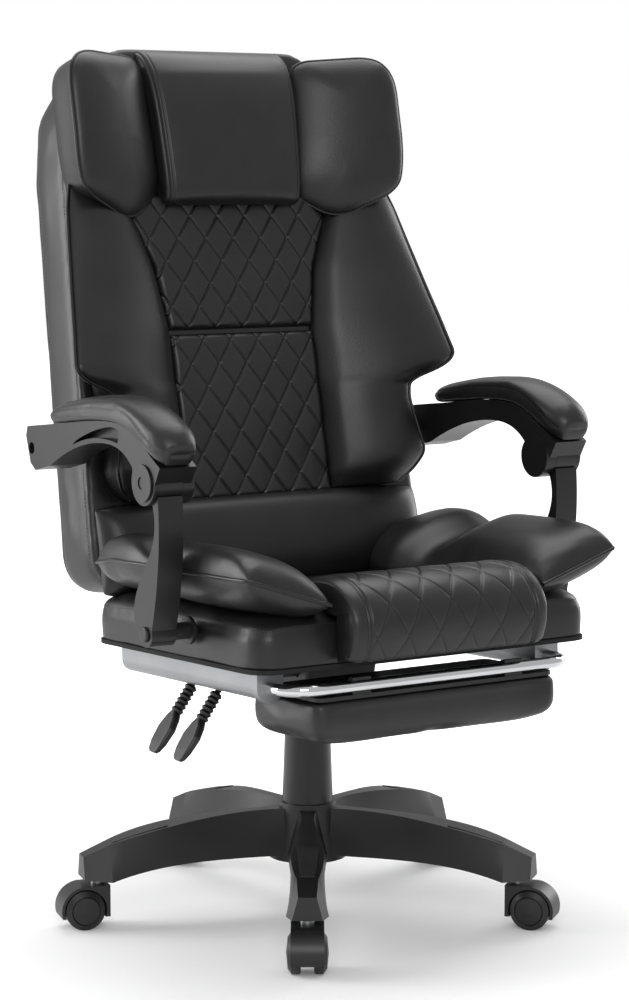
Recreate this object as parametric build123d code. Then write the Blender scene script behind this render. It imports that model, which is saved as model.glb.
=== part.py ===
from build123d import *
import os
from math import cos, hypot, radians, sin, tan

# Office chair with a pull-out footrest, in millimetres and degrees.
# The floor is z = 0, the column stands on the origin, and the sitter faces -Y.
# Left and right are the sitter's: left is +X.

# Fits
running_clearance = 0.05   # radial, a shaft that turns or slides in its hole
soft_gap = 0.3             # between a soft piece and what it rests on
pivot_play = 0.5           # radial, at the arms' rear eyes
side_play = 0.3            # beside an eye that turns between lugs

# Casters
wheel_radius = 27.0
wheel_gap = 17.0           # clear width between the two wheels
wheel_tread = 12.0
wheel_dome = 7.0           # how far the wheel's face stands out of its tread
wheel_ring = 19.0          # radius of the ring line on the face
axle_radius = 4.0
stem_radius = 5.5
stem_depth = 30.0          # in the leg's socket
stem_root = 20.0           # in the hood
caster_trail = 21.0
caster_neck = 4.5          # collar between hood and leg
neck_radius = 10.0
hood_radius = 33.0
hood_width = 43.0
hood_web = 15.0
hood_skirt = 17.0          # height of the hood's lower edge
hood_nose = 13.0           # how far the hood stands in front of the stem axis
hood_clearance = 2.0       # around the wheels

# Five-leg base
leg_count = 5
leg_heading = 236.8        # direction of the first leg, from +X
stem_pitch = 300.0         # radius of the caster stems
leg_overhang = 22.0        # leg tip beyond the stem
leg_root = 34.0
leg_waist = 185.0
leg_wall = 4.0
socket_wall = 5.0
hub_top = 153.0
hub_top_radius = 39.0
hub_foot_radius = 54.0
hub_foot = 76.0
leg_root_top = 146.0
leg_waist_top = 137.0
leg_shoulder_top = 114.0
leg_tip_top = 99.0
leg_arch_foot = 84.0       # underside of the arch near the hub
leg_root_half = 9.0        # half widths of the top facet
leg_waist_half = 19.0
leg_shoulder_half = 14.0
leg_tip_half = 12.0
leg_foot_half = 28.0       # half widths of the underside
leg_foot_waist_half = 22.0
leg_foot_tip_half = 20.0
inlay_inner = 205.0        # the plate set in the top of each leg, by radius
inlay_outer_margin = 4.0   # its distance inside the leg's shoulder end
inlay_edge = 4.0           # bare edge of the leg beside the plate
inlay_thickness = 2.0
inlay_proud = 0.8
rib_count = 3

# Column
tube_radius = 25.0
tube_wall = 1.8
tube_foot = 60.0
tube_top = 270.0
tube_taper = 1.5           # loss of radius in the hub
bush_length = 70.0
bush_lip = 3.0
cylinder_radius = 14.0
cylinder_foot = 95.0
cylinder_bore = 11.0
cylinder_gland = 12.0
cylinder_taper = 1.0       # loss of radius in the mechanism's socket
cylinder_crown = 22.0      # solid top of the cylinder under the socket
rod_radius = 5.0
rod_headroom = 8.0         # above the piston
piston_thickness = 10.0
bearing_radius = 13.0
bearing_height = 6.0
collar_radius = 8.0
collar_height = 4.0
lower_cover_radius = 35.0
lower_cover_top_radius = 30.5
lower_cover_height = 130.0
upper_cover_radius = 27.0
upper_cover_overlap = 100.0
cover_wall = 1.6

# Seat, modelled level and then tipped back about its front lower edge
seat_front = -300.0
seat_rear = 140.0
seat_tilt = 2.0
slab_half = 268.0
slab_thickness = 65.0
slab_corner = 46.0
slab_crown = 24.0          # how far the top draws in at its edges
board_thickness = 12.0
board_margin = 14.0
roll_half = 152.0          # quilted front roll
roll_front = 46.0          # its reach in front of the slab
roll_rise = 48.0           # its crown above the slab
roll_depth = 135.0         # how far it runs back on the slab
roll_drop = 8.0            # its lower edge above the slab's bottom
roll_end = 16.0            # rounded stretch at each end
roll_end_draw = 7.0
roll_diamonds = 8
pillow_inner = 160.0       # overstuffed side cushions
pillow_overhang = 24.0     # of their outer seams beside the slab
pillow_rear_inner = 116.0
pillow_seam = 56.0         # outer seam above the slab
pillow_inner_seam = 15.0
pillow_front_crown = 87.0  # crowns above the slab
pillow_crease_crown = 62.0
pillow_rear_crown = 82.0
pillow_front = -312.0
pillow_crease = -68.0
pillow_rear = 80.0

# Tilt box under the seat
flange_half_x = 100.0
flange_half_y = 108.0
sheet = 3.0
tray_half_x = 62.0
tray_half_y = 90.0
tray_draft = 7.0
tray_depth = 60.0
socket_radius = 22.0
socket_drop = 4.5          # the lift socket below the tray
socket_length = 46.0

# Levers on the sitter's right
lever_height = 346.0       # the tilt box and the seat follow it
lever_drop = 51.0          # rods below the seat's bottom
lever_pivot_inset = 14.0   # pivot pins inside the tray's rim
lever_pin_radius = 3.0
lever_ear = 4.0            # thickness of the ears that hold a pivot pin
lever_ear_half = 7.0
lever_ear_gap = 0.6        # between rod and ear
height_lever_y = 5.0
recline_lever_y = -60.0
lever_rod_radius = 4.0
lever_inner = 34.0         # distance of the rod's inner end from the centre
lever_reach = 172.0
lever_bend = 18.0
lever_lean = 36.0          # grip's lean away from straight down
lever_play = 1.9           # around the rod where it passes through the tray
bellows_length = 42.0
bellows_ribs = 6
bellows_radius = 9.0
bellows_root = 6.5
paddle_length = 62.0
paddle_width = 34.0
paddle_thickness = 10.0
grip_depth = 50.0          # of the rod in the grip

# Back, modelled upright on its own plane and then leaned
back_lean = 12.0
back_y = 115.0             # foot of the quilted panel
back_rise = 171.0          # that foot above the seat's bottom
shell_foot = -117.0        # along the back, from that foot
shell_top = 645.0
shell_foot_half = 280.0
shell_taper = 25.0         # loss of half width up to the shoulder
shell_shoulder = 470.0
shell_round = 50.0         # loss of half width from the shoulder to the crown
shell_crown_drop = 41.0    # of the crown's ends below the top
shell_top_half = 150.0
shell_depth = 130.0        # behind the quilted panel's face
shell_front = 12.0         # the shell's front behind the panel's face
shell_corner = 50.0
quilt_foot_half = 114.0
quilt_mid_half = 127.0
quilt_top_half = 148.0
quilt_mid = 325.0
quilt_crease = 235.0
quilt_top = 397.0
quilt_pitch_x = 45.0       # diamonds of the quilting
quilt_pitch_h = 64.0
quilt_groove = 3.0
quilt_groove_half = 3.0
panel_split = 4.0          # gap at the crease
lumbar_half = 258.0
lumbar_foot = -117.0
lumbar_top = -4.0
lumbar_bulge = 25.0
head_roll_foot = 404.0
head_roll_top = 642.0
head_roll_foot_half = 104.0
head_roll_top_half = 134.0
head_roll_corner = 18.0
head_roll_crown = 56.0
wing_gap = 2.5             # between head roll and wing
wing_flare = 11.0          # of the wing's outer edge beyond the shell's shoulder
wing_top = 612.0
wing_point = 392.0         # lower point, by the quilt's top corner
wing_corner = 26.0
wing_face = 60.0           # how far the outer edge stands forward
wing_slope = 17.0          # how steeply the wing rises outwards
bolster_foot = 4.0
bolster_top = 405.0
bolster_top_half = 268.0   # half widths of the bolsters' piped edges
bolster_tip = 310.0
bolster_tip_height = 176.0
bolster_notch = 238.0
bolster_lobe = 253.0
bolster_seat = 246.0       # half width that rests on the shell
bolster_face = 67.0        # how far the tip stands forward
bolster_crown = 14.0
bolster_top_share = 0.42   # of the face's slope left at the top
bolster_gap = 5.0          # between bolster and quilted panel

# Linked arms: front post, arm and back form a parallelogram
post_foot_y = -135.0       # lower pivot of the front post
post_foot_rise = 37.0      # above the seat's bottom
post_head_y = -141.0       # pivot of post and arm
post_rise = 194.0          # from its lower pivot to that one
arm_rear_y = 160.0         # pivot of arm and back
arm_rise = 20.0            # from the front pivot to that one
post_clear = 18.0          # beside the shell's foot
post_width = 36.0
post_foot_radius = 17.0
barrel_radius = 29.0
lug_thickness = 5.5        # outside the post
lug_reach = 17.0           # inside the post
arm_cheek = 12.0           # of the arm inside the post
arm_pin_radius = 6.0
cap_radius = 24.0
cap_thickness = 3.0
cap_dimple = 8.0
groove_depth = 16.0
pad_inset = 2.0            # pad's middle inside the post's
pad_half = 37.0
pad_height = 31.0
pad_sections = 20          # along the arm
mount_flange = 5.0         # round flange of the arm mount on the slab's side
mount_radius = 18.0
mount_root = 42.0          # of its stub in the slab
foot_pin_radius = 7.0
foot_collar_radius = 11.0
foot_cap_radius = 10.0
foot_cap_thickness = 4.0
rear_pin_radius = 7.0
rear_collar_radius = 11.0
rear_pin_root = 24.0

# Recline hinge
plate_x = 148.0
plate_sheet = 6.0
plate_gap = 4.0
plate_eye = 14.0
hinge_pin_radius = 6.0
hinge_head_radius = 9.0
hinge_head = 4.0
plate_neck = 2.0           # rear edge of the seat's plate behind the hinge, below its eye
plate_neck_drop = 34.0     # where that edge starts, clear of the reclined shell's foot
pocket_half = 30.0         # hollow in the shell around the hinge, along its depth
pocket_rise = 25.0         # above the hinge axis
pocket_side = 8.0
pocket_flange = 4.0

# Footrest
bar_radius = 8.0
bar_wall = 1.5
bar_y = -305.0
bar_drop = 24.0            # below the seat's bottom
bar_half = 220.0
bar_bend = 42.0
bar_rear = 90.0
rail_half = 17.0
rail_front = -250.0
rail_rear = 100.0
rail_clip = 14.0
rail_clip_lip = 2.5
pan_margin = 10.0          # of the cushion around the pan's ends
pan_front = -309.0
pan_rear = -158.0
pan_sheet = 5.0
clamp_x = 120.0
clamp_width = 28.0
clamp_radius = 11.5
clamp_sink = 1.0           # of the rolled hook in the pan's top
clamp_open = 3.0           # the hook's lips in front of the bar's middle
cushion_half = 196.0
cushion_front = -317.0
cushion_rear = -150.0
cushion_thickness = 54.0
cushion_corner = 22.0
cushion_crown = 20.0

# Places that follow from these
seat_bottom = lever_height + lever_drop
slab_top = seat_bottom + slab_thickness
back_z = seat_bottom + back_rise
post_foot_z = seat_bottom + post_foot_rise
post_head_z = post_foot_z + post_rise
arm_rear_z = post_head_z + arm_rise
bar_z = seat_bottom - bar_drop
pillow_outer = slab_half + pillow_overhang
shell_shoulder_half = shell_foot_half - shell_taper
wing_outer = shell_shoulder_half + wing_flare
mount_face = slab_half + soft_gap
post_inner = shell_foot_half + post_clear
post_outer = post_inner + post_width
lug_outer = post_outer + lug_thickness
lug_inner = post_inner - lug_reach
arm_inner = post_inner - arm_cheek
pad_centre = (post_inner + post_outer) / 2 - pad_inset
pan_half = cushion_half - pan_margin
lever_pivot = tray_half_x - lever_pivot_inset
hinge_y = arm_rear_y - (post_head_y - post_foot_y)
hinge_z = arm_rear_z - (post_head_z - post_foot_z)
hood_top = wheel_radius + hood_radius
leg_foot = hood_top + caster_neck
tray_bottom = seat_bottom - tray_depth + seat_front * tan(radians(seat_tilt))
socket_foot = tray_bottom - socket_drop
rod_top = socket_foot - cylinder_crown - rod_headroom
shell_face = -shell_front
back = Plane(
    origin=(0, back_y, back_z),
    x_dir=(1, 0, 0),
    z_dir=(0, -cos(radians(back_lean)), sin(radians(back_lean))),
)
tilt_axis = Axis((0, seat_front, seat_bottom), (1, 0, 0))
standing = (Align.CENTER, Align.CENTER, Align.MIN)


def tipped(shape):
    """The level seat's shape at its real angle."""
    return shape.rotate(tilt_axis, -seat_tilt)


def level(y, z):
    """Where a point of the finished chair lies while the seat is still level."""
    turn = radians(seat_tilt)
    dy = y - seat_front
    dz = z - seat_bottom
    return (seat_front + dy * cos(turn) - dz * sin(turn), seat_bottom + dy * sin(turn) + dz * cos(turn))


def on_back(y, z):
    """Height along the back and distance in front of its plane, for a point of the chair."""
    lean = radians(back_lean)
    dy = y - back_y
    dz = z - back_z
    return (dy * sin(lean) + dz * cos(lean), dz * sin(lean) - dy * cos(lean))


def post(radius, foot, top):
    """An upright cylinder on the column's axis."""
    return Pos(0, 0, foot) * Cylinder(radius, top - foot, align=standing)


def cross_pin(radius, x_from, x_to, y, z):
    """A cylinder along X."""
    return Pos(x_from, y, z) * Rot(0, 90, 0) * Cylinder(radius, x_to - x_from, align=standing)


def side_plate(profile, x_from, x_to):
    """A profile drawn in (y, z), given its thickness along X."""
    face = Plane(origin=(x_from, 0, 0), x_dir=(0, 1, 0), z_dir=(1, 0, 0)) * make_face(profile)
    return extrude(face, x_to - x_from)


def other_side(shape):
    return mirror(shape, about=Plane.YZ)


def both_sides(shape):
    return Compound(children=[shape, other_side(shape)])


def turned(shape, index):
    """A piece of leg or caster number index, drawn along +X."""
    return Rot(0, 0, leg_heading + index * 360 / leg_count) * shape


# Casters

def caster_hood():
    axle = Pos(caster_trail, wheel_radius)
    front = Pos(-hood_nose, hood_skirt) * Rectangle(
        caster_trail + hood_nose, hood_top - hood_skirt, align=(Align.MIN, Align.MIN)
    )
    below = Pos(0, hood_skirt) * Rectangle(8 * hood_radius, 4 * hood_radius, align=(Align.CENTER, Align.MAX))
    outline = axle * Circle(hood_radius) + front - below
    body = extrude(Plane.XZ * outline, hood_width / 2, both=True)
    bay = Pos(caster_trail, hood_web / 2, wheel_radius) * Rot(-90, 0, 0) * Cylinder(
        wheel_radius + hood_clearance, hood_width, align=standing
    )
    axle_hole = Pos(caster_trail, 0, wheel_radius) * Rot(90, 0, 0) * Cylinder(axle_radius, hood_width)
    stem_hole = Pos(0, 0, hood_top - stem_root) * Cylinder(stem_radius, stem_root, align=standing)
    return body - bay - mirror(bay, about=Plane.XZ) - axle_hole - stem_hole


def caster_stem():
    length = stem_root + caster_neck + stem_depth
    stem = Pos(0, 0, hood_top - stem_root) * Cylinder(stem_radius, length, align=standing)
    neck = Pos(0, 0, hood_top) * Cylinder(neck_radius, caster_neck, align=standing)
    axle = Pos(caster_trail, 0, wheel_radius) * Rot(90, 0, 0) * Cylinder(axle_radius, wheel_gap + 2 * wheel_tread)
    return Compound(children=[stem + neck, axle])


def caster_wheels():
    inner = wheel_gap / 2
    shoulder = inner + wheel_tread
    outer = shoulder + wheel_dome
    ring_depth = 1.0
    edge = 2.0
    bore = axle_radius + running_clearance
    profile = Polyline(
        (bore, inner), (wheel_radius - edge, inner), (wheel_radius, inner + edge), (wheel_radius, shoulder),
        (wheel_ring + ring_depth, outer - edge), (wheel_ring, outer - edge - ring_depth),
        (wheel_ring - ring_depth, outer - edge), (0, outer), (0, shoulder + side_play), (bore, shoulder + side_play),
        close=True,
    )
    wheel = Pos(caster_trail, 0, wheel_radius) * revolve(make_face(profile), Axis.Y)
    return Compound(children=[wheel, mirror(wheel, about=Plane.XZ)])


# Base

def leg_section(radius, top_half, foot_half, top, foot):
    corners = [(-foot_half, foot), (foot_half, foot), (top_half, top), (-top_half, top)]
    plane = Plane(origin=(radius, 0, 0), x_dir=(0, 1, 0), z_dir=(1, 0, 0))
    return plane * make_face(Polyline(*corners, close=True))


def leg_stations(wall, drop):
    """Sections from hub to shoulder, drawn in by a wall and let down below by a drop."""
    shoulder = stem_pitch - neck_radius - socket_wall
    rows = [
        (leg_root, leg_root_half + 4, leg_foot_half, leg_root_top, leg_arch_foot),
        (leg_root + (leg_waist - leg_root) * 0.4, leg_root_half, leg_foot_half - 3, leg_root_top - 1, leg_arch_foot),
        (leg_waist, leg_waist_half, leg_foot_waist_half, leg_waist_top, leg_arch_foot - 3),
        (shoulder, leg_shoulder_half, leg_foot_half, leg_shoulder_top, leg_foot),
    ]
    return [
        leg_section(radius, top_half - wall * 0.6, foot_half - wall, top - wall, foot - drop)
        for radius, top_half, foot_half, top, foot in rows
    ]


def leg_top(radius):
    """Height of the leg's top facet between its waist and its shoulder."""
    shoulder = stem_pitch - neck_radius - socket_wall
    share = (radius - leg_waist) / (shoulder - leg_waist)
    return leg_waist_top + (leg_shoulder_top - leg_waist_top) * share ** 1.35


def inlay(side, below):
    """The plate in a leg's top, widened and deepened for its recess."""
    outer = stem_pitch - neck_radius - socket_wall - inlay_outer_margin
    middle = (inlay_inner + outer) / 2
    sections = []
    for radius, half in ((inlay_inner, leg_waist_half), (middle, leg_waist_half - 2), (outer, leg_shoulder_half)):
        width = half - inlay_edge + side
        top = leg_top(radius) + inlay_proud + below
        sections.append(leg_section(radius, width, width, top, leg_top(radius) + inlay_proud - inlay_thickness))
    return loft(sections, ruled=True)


def star_leg():
    shoulder = stem_pitch - neck_radius - socket_wall
    arm = loft(leg_stations(0, 0))
    tip = loft(
        [
            leg_section(shoulder, leg_shoulder_half, leg_foot_half, leg_shoulder_top, leg_foot),
            leg_section(stem_pitch + leg_overhang, leg_tip_half, leg_foot_tip_half, leg_tip_top, leg_foot + 4),
        ]
    )
    hollow = loft(leg_stations(leg_wall, leg_arch_foot))
    ribs = Part()
    for step in range(rib_count):
        radius = leg_root + (shoulder - leg_root) * (step + 1.2) / (rib_count + 1)
        rib = Pos(radius, 0, leg_arch_foot + 2) * Box(leg_wall, 3 * leg_foot_half, 80, align=standing)
        ribs = ribs + rib
    return arm + tip - (hollow - ribs) - inlay(soft_gap, 2 * inlay_thickness)


def star_base():
    hub = loft(
        [
            Pos(0, 0, hub_foot) * Circle(hub_foot_radius),
            Pos(0, 0, (hub_foot + hub_top) / 2) * Circle(hub_top_radius + 5),
            Pos(0, 0, hub_top) * Circle(hub_top_radius),
        ],
        ruled=True,
    )
    leg = star_leg()
    body = hub
    for index in range(leg_count):
        body = body + turned(leg, index)
    for index in range(leg_count):
        socket = Pos(stem_pitch, 0, leg_foot) * Cylinder(
            stem_radius + running_clearance, stem_depth + soft_gap, align=standing
        )
        body = body - turned(socket, index)
    return body - tube_outside(tube_top)


def leg_inlays():
    return Compound(children=[turned(inlay(0, 0), index) for index in range(leg_count)])


# Column

def tube_outside(top):
    """Outer form of the lift tube, tapered where it wedges in the hub."""
    wedge = Pos(0, 0, tube_foot) * Cone(
        tube_radius - tube_taper, tube_radius, hub_top - tube_foot, align=standing
    )
    return wedge + post(tube_radius, hub_top, top)


def lift_outer_tube():
    floor_hole = post(rod_radius + 1, tube_foot - 1, tube_foot + bearing_height)
    inside = post(tube_radius - tube_wall - tube_taper, tube_foot + bearing_height, hub_top)
    upper = post(tube_radius - tube_wall, hub_top, tube_top + 1)
    return tube_outside(tube_top) - floor_hole - inside - upper


def guide_bush():
    bush = post(tube_radius - tube_wall, tube_top - bush_length, tube_top)
    lip = post(tube_radius - 0.5, tube_top, tube_top + bush_lip)
    hole = post(cylinder_radius + running_clearance, tube_top - bush_length - 1, tube_top + bush_lip + 1)
    return bush + lip - hole


def cover(foot_radius, top_radius, foot, top):
    outside = Pos(0, 0, foot) * Cone(foot_radius, top_radius, top - foot, align=standing)
    inside = Pos(0, 0, foot) * Cone(foot_radius - cover_wall, top_radius - cover_wall, top - foot, align=standing)
    return outside - inside


def column_cover_lower():
    return cover(lower_cover_radius, lower_cover_top_radius, hub_top, hub_top + lower_cover_height)


def column_cover_upper():
    top = socket_foot
    foot = hub_top + lower_cover_height - upper_cover_overlap
    sleeve = post(upper_cover_radius, foot, top) - post(upper_cover_radius - cover_wall, foot - 1, top - cover_wall)
    return sleeve - post(cylinder_radius, foot, top + 1)


def thrust_bearing():
    ring = post(bearing_radius, tube_foot + bearing_height, tube_foot + 2 * bearing_height)
    return ring - post(rod_radius, tube_foot, tube_foot + 3 * bearing_height)


def piston_rod():
    seat = tube_foot + 2 * bearing_height
    rod = post(rod_radius, tube_foot - bearing_height, rod_top)
    collar = post(collar_radius, seat, seat + collar_height)
    clip = post(collar_radius, tube_foot - soft_gap - sheet, tube_foot - soft_gap)
    piston = post(cylinder_bore - running_clearance, rod_top - piston_thickness, rod_top)
    return rod + collar + clip + piston


def gas_cylinder():
    barrel = post(cylinder_radius, cylinder_foot, socket_foot)
    taper = Pos(0, 0, socket_foot) * Cone(
        cylinder_radius, cylinder_radius - cylinder_taper, socket_length - sheet, align=standing
    )
    chamber = post(cylinder_bore, cylinder_foot + cylinder_gland, socket_foot - cylinder_crown)
    gland = post(rod_radius + running_clearance, cylinder_foot - 1, cylinder_foot + cylinder_gland)
    return barrel + taper - chamber - gland


# Tilt box and levers

def tray(half_x, half_y, top, bottom):
    return loft(
        [
            Pos(0, 0, bottom) * RectangleRounded(2 * (half_x - tray_draft), 2 * (half_y - tray_draft), tray_draft),
            Pos(0, 0, top) * RectangleRounded(2 * half_x, 2 * half_y, tray_draft),
        ]
    )


def mechanism():
    bottom = seat_bottom - tray_depth
    rim = Pos(0, 0, seat_bottom - sheet) * extrude(
        RectangleRounded(2 * flange_half_x, 2 * flange_half_y, 2 * tray_draft), sheet
    )
    box = rim + tray(tray_half_x, tray_half_y, seat_bottom, bottom)
    hollow = tray(tray_half_x - sheet, tray_half_y - sheet, seat_bottom, bottom + sheet)
    boss = post(socket_radius, socket_foot, socket_foot + socket_length)
    bore = Pos(0, 0, socket_foot) * Cone(
        cylinder_radius, cylinder_radius - cylinder_taper, socket_length - sheet, align=standing
    )
    release = post(cylinder_radius - cylinder_taper, socket_foot + socket_length - sheet, seat_bottom)
    body = tipped(box - hollow) + boss - bore - release
    for y in (height_lever_y, recline_lever_y):
        body = body - cross_pin(lever_rod_radius + lever_play, -flange_half_x, -lever_inner, y, lever_height)
        body = body + lever_ears(y)
    return body


def lever_pin(y, radius):
    half = lever_rod_radius + lever_ear_gap + lever_ear
    return Pos(-lever_pivot, y, lever_height) * Rot(90, 0, 0) * Cylinder(radius, 2 * half)


def lever_ears(y):
    """Two ears on the tray's wall that hold a lever's pivot pin."""
    wall = tray_half_x - tray_draft
    first = y + lever_rod_radius + lever_ear_gap
    ear = Pos(-wall - 1, first, lever_height) * Box(
        wall + 1 - lever_pivot + lever_ear_half, lever_ear, 2 * lever_ear_half,
        align=(Align.MIN, Align.MIN, Align.CENTER),
    )
    across = Plane(origin=(0, y, 0), z_dir=(0, 1, 0))
    return ear + mirror(ear, about=across) - lever_pin(y, lever_pin_radius + running_clearance)


def grip_plane(y):
    """Plane square to a grip's axis where the rod bends down, its normal along the grip."""
    lean = radians(lever_lean)
    return Plane(
        origin=(-lever_reach, y, lever_height), x_dir=(0, 1, 0), z_dir=(-sin(lean), 0, -cos(lean))
    )


def lever_rod(y):
    lean = radians(lever_lean)
    reach = lever_bend + grip_depth
    path = FilletPolyline(
        (-lever_inner, y, lever_height),
        (-lever_reach, y, lever_height),
        (-lever_reach - reach * sin(lean), y, lever_height - reach * cos(lean)),
        radius=lever_bend,
    )
    start = Plane(origin=(-lever_inner, y, lever_height), z_dir=(-1, 0, 0))
    return sweep(start * Circle(lever_rod_radius), path=path) + lever_pin(y, lever_pin_radius)


def lever_grip(y):
    """Moulded grip: a bellows neck with ribs, then a flat paddle."""
    pitch = bellows_length / bellows_ribs
    points = [(0, lever_bend)]
    for rib in range(bellows_ribs):
        foot = lever_bend + rib * pitch
        points += [(bellows_root, foot), (bellows_radius, foot + 0.5 * pitch)]
    end = lever_bend + bellows_length
    points += [(bellows_root, end), (0, end)]
    neck = revolve(Plane.XZ * make_face(Polyline(*points, close=True)), Axis.Z)
    sizes = [
        (0, 2 * bellows_root, 2 * bellows_root),
        (0.14, paddle_width * 0.7, paddle_thickness * 1.3),
        (0.4, paddle_width, paddle_thickness * 1.2),
        (0.75, paddle_width * 0.92, paddle_thickness),
        (0.94, paddle_width * 0.7, paddle_thickness * 0.7),
        (1, paddle_width * 0.45, paddle_thickness * 0.5),
    ]
    paddle = loft(
        [
            Pos(0, 0, end + share * paddle_length) * RectangleRounded(wide, thick, 0.42 * min(wide, thick))
            for share, wide, thick in sizes
        ],
        ruled=True,
    )
    bore = Pos(0, 0, lever_bend - 1) * Cylinder(lever_rod_radius, grip_depth + 1, align=standing)
    return grip_plane(y) * (neck + paddle - bore)


# Seat

def rounded_levels(width, depth, corner, levels):
    """Loft of rounded rectangles: each level is a height and how far its edges draw in."""
    return loft(
        [
            Pos(0, 0, z) * RectangleRounded(width - 2 * draw, depth - 2 * draw, corner - draw * 0.6)
            for z, draw in levels
        ],
        ruled=True,
    )


def board(gap):
    """The level seat board, let into the slab from below, or its recess with a gap around."""
    width = 2 * (slab_half - board_margin + gap)
    depth = seat_rear - seat_front - 2 * (board_margin - gap)
    plate = extrude(RectangleRounded(width, depth, slab_corner - board_margin + gap), board_thickness + gap)
    return Pos(0, (seat_front + seat_rear) / 2, seat_bottom) * plate


def seat_board():
    return tipped(board(0))


def seat_slab():
    levels = [
        (0, 6),
        (6, 1.5),
        (14, 0),
        (slab_thickness / 2, 0),
        (slab_thickness - 19, 0),
        (slab_thickness - 11, slab_crown * 0.1),
        (slab_thickness - 4, slab_crown * 0.45),
        (slab_thickness, slab_crown),
    ]
    slab = rounded_levels(2 * slab_half, seat_rear - seat_front, slab_corner, levels)
    pivot_y, pivot_z = level(post_foot_y, post_foot_z)
    root = cross_pin(foot_pin_radius, slab_half - mount_root, slab_half + 1, pivot_y, pivot_z)
    body = Pos(0, (seat_front + seat_rear) / 2, seat_bottom) * slab - board(soft_gap)
    return tipped(body - root - other_side(root))


def lens(y, inner, inner_z, outer, outer_z, crown, low):
    """A pillow's cross-section: a full top and a flatter underside that meet at its seams."""
    width = outer - inner
    shoulder = (inner + 0.22 * width, inner_z + 0.8 * (crown - inner_z))
    side = (inner + 0.06 * width, inner_z + 0.5 * (crown - inner_z))
    inner_arc = ThreePointArc((inner, inner_z), side, shoulder)
    top_arc = ThreePointArc(shoulder, (inner + 0.6 * width, crown), (outer, outer_z))
    low_arc = ThreePointArc((outer, outer_z), (inner + 0.36 * width, low), (inner, inner_z))
    across = Plane(origin=(0, y, 0), x_dir=(1, 0, 0), z_dir=(0, -1, 0))
    return across * make_face(Curve() + [inner_arc, top_arc, low_arc])


def seat_pillow():
    low = slab_top + 3 * soft_gap
    outer_z = slab_top + pillow_seam
    inner_z = slab_top + pillow_inner_seam
    front_crown = slab_top + pillow_front_crown
    crease_crown = slab_top + pillow_crease_crown
    rear_crown = slab_top + pillow_rear_crown
    front_mid = pillow_front + 0.4 * (pillow_crease - pillow_front)
    rear_mid = pillow_crease + 0.45 * (pillow_rear - pillow_crease)
    sections = [
        lens(pillow_front, pillow_inner + 6, inner_z, pillow_outer - 8, outer_z, outer_z - 10, inner_z + 6),
        lens(pillow_front + 26, pillow_inner + 2, inner_z, pillow_outer, outer_z, front_crown - 14, low + 6),
        lens(front_mid, pillow_inner, inner_z, pillow_outer, outer_z, front_crown, low),
        lens(pillow_crease - 50, pillow_inner, inner_z, pillow_outer, outer_z, front_crown - 9, low),
        lens(pillow_crease, pillow_inner - 18, inner_z, pillow_outer - 2, outer_z, crease_crown, low + 2),
        lens(rear_mid - 20, pillow_rear_inner, inner_z, pillow_outer - 2, outer_z + 3, rear_crown, low),
        lens(rear_mid + 34, pillow_rear_inner + 12, inner_z, pillow_outer - 4, outer_z, rear_crown - 8, low),
        lens(pillow_rear, pillow_inner + 86, inner_z + 18, pillow_outer - 8, outer_z - 6, outer_z + 2, inner_z + 16),
    ]
    return tipped(loft(sections, ruled=True))


def roll_profile(draw):
    """Side view of the quilted front roll in (y, z), its outer line drawn in."""
    face = seat_front - 3 * soft_gap
    rest = slab_top + soft_gap
    nose = seat_front - roll_front + draw
    crown = slab_top + roll_rise - draw
    foot = seat_bottom + roll_drop + draw
    rear = seat_front + roll_depth
    lip = 12 - draw
    return Curve() + [
        Line((face, foot), (face, rest)),
        Line((face, rest), (rear, rest)),
        ThreePointArc((rear, rest), ((rear + face) / 2 + 26, crown - 8), ((rear + face) / 2 - 26, crown)),
        ThreePointArc(((rear + face) / 2 - 26, crown), (nose + 16, crown - 26), (nose, (crown + foot) / 2)),
        ThreePointArc((nose, (crown + foot) / 2), (nose + 4, foot + 20), (nose + lip + 4, foot)),
        Line((nose + lip + 4, foot), (face, foot)),
    ]


def roll_body(shrink):
    stations = [
        (-roll_half, roll_end_draw),
        (-roll_half + roll_end, 0),
        (roll_half - roll_end, 0),
        (roll_half, roll_end_draw),
    ]
    sections = []
    for x, draw in stations:
        plane = Plane(origin=(x, 0, 0), x_dir=(0, 1, 0), z_dir=(1, 0, 0))
        sections.append(plane * make_face(roll_profile(draw + shrink)))
    return loft(sections, ruled=True)


def seat_front_roll():
    """Quilted roll: slanting cuts through its skin leave the diamonds' seams."""
    body = roll_body(0)
    middle = Pos(0, seat_front, slab_top) * Box(2 * (roll_half - roll_end), 4 * roll_depth, 8 * roll_rise)
    skin = (body - roll_body(quilt_groove)) & middle
    pitch = 2 * roll_half / roll_diamonds
    slope = 62
    blades = []
    for step in range(-3, roll_diamonds + 4):
        x = -roll_half + (step + 0.5) * pitch
        for lean in (-slope, slope):
            blade = Box(2 * quilt_groove_half - 3, 2 * roll_depth, 8 * roll_rise)
            turn = 90 - lean if lean > 0 else -90 - lean
            blades.append(Pos(x, seat_front, slab_top) * Rot(0, turn, 0) * blade)
    return tipped(body - [skin & blade for blade in blades])


# Recline hinge, arm mounts and footrest rails on the seat

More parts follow.
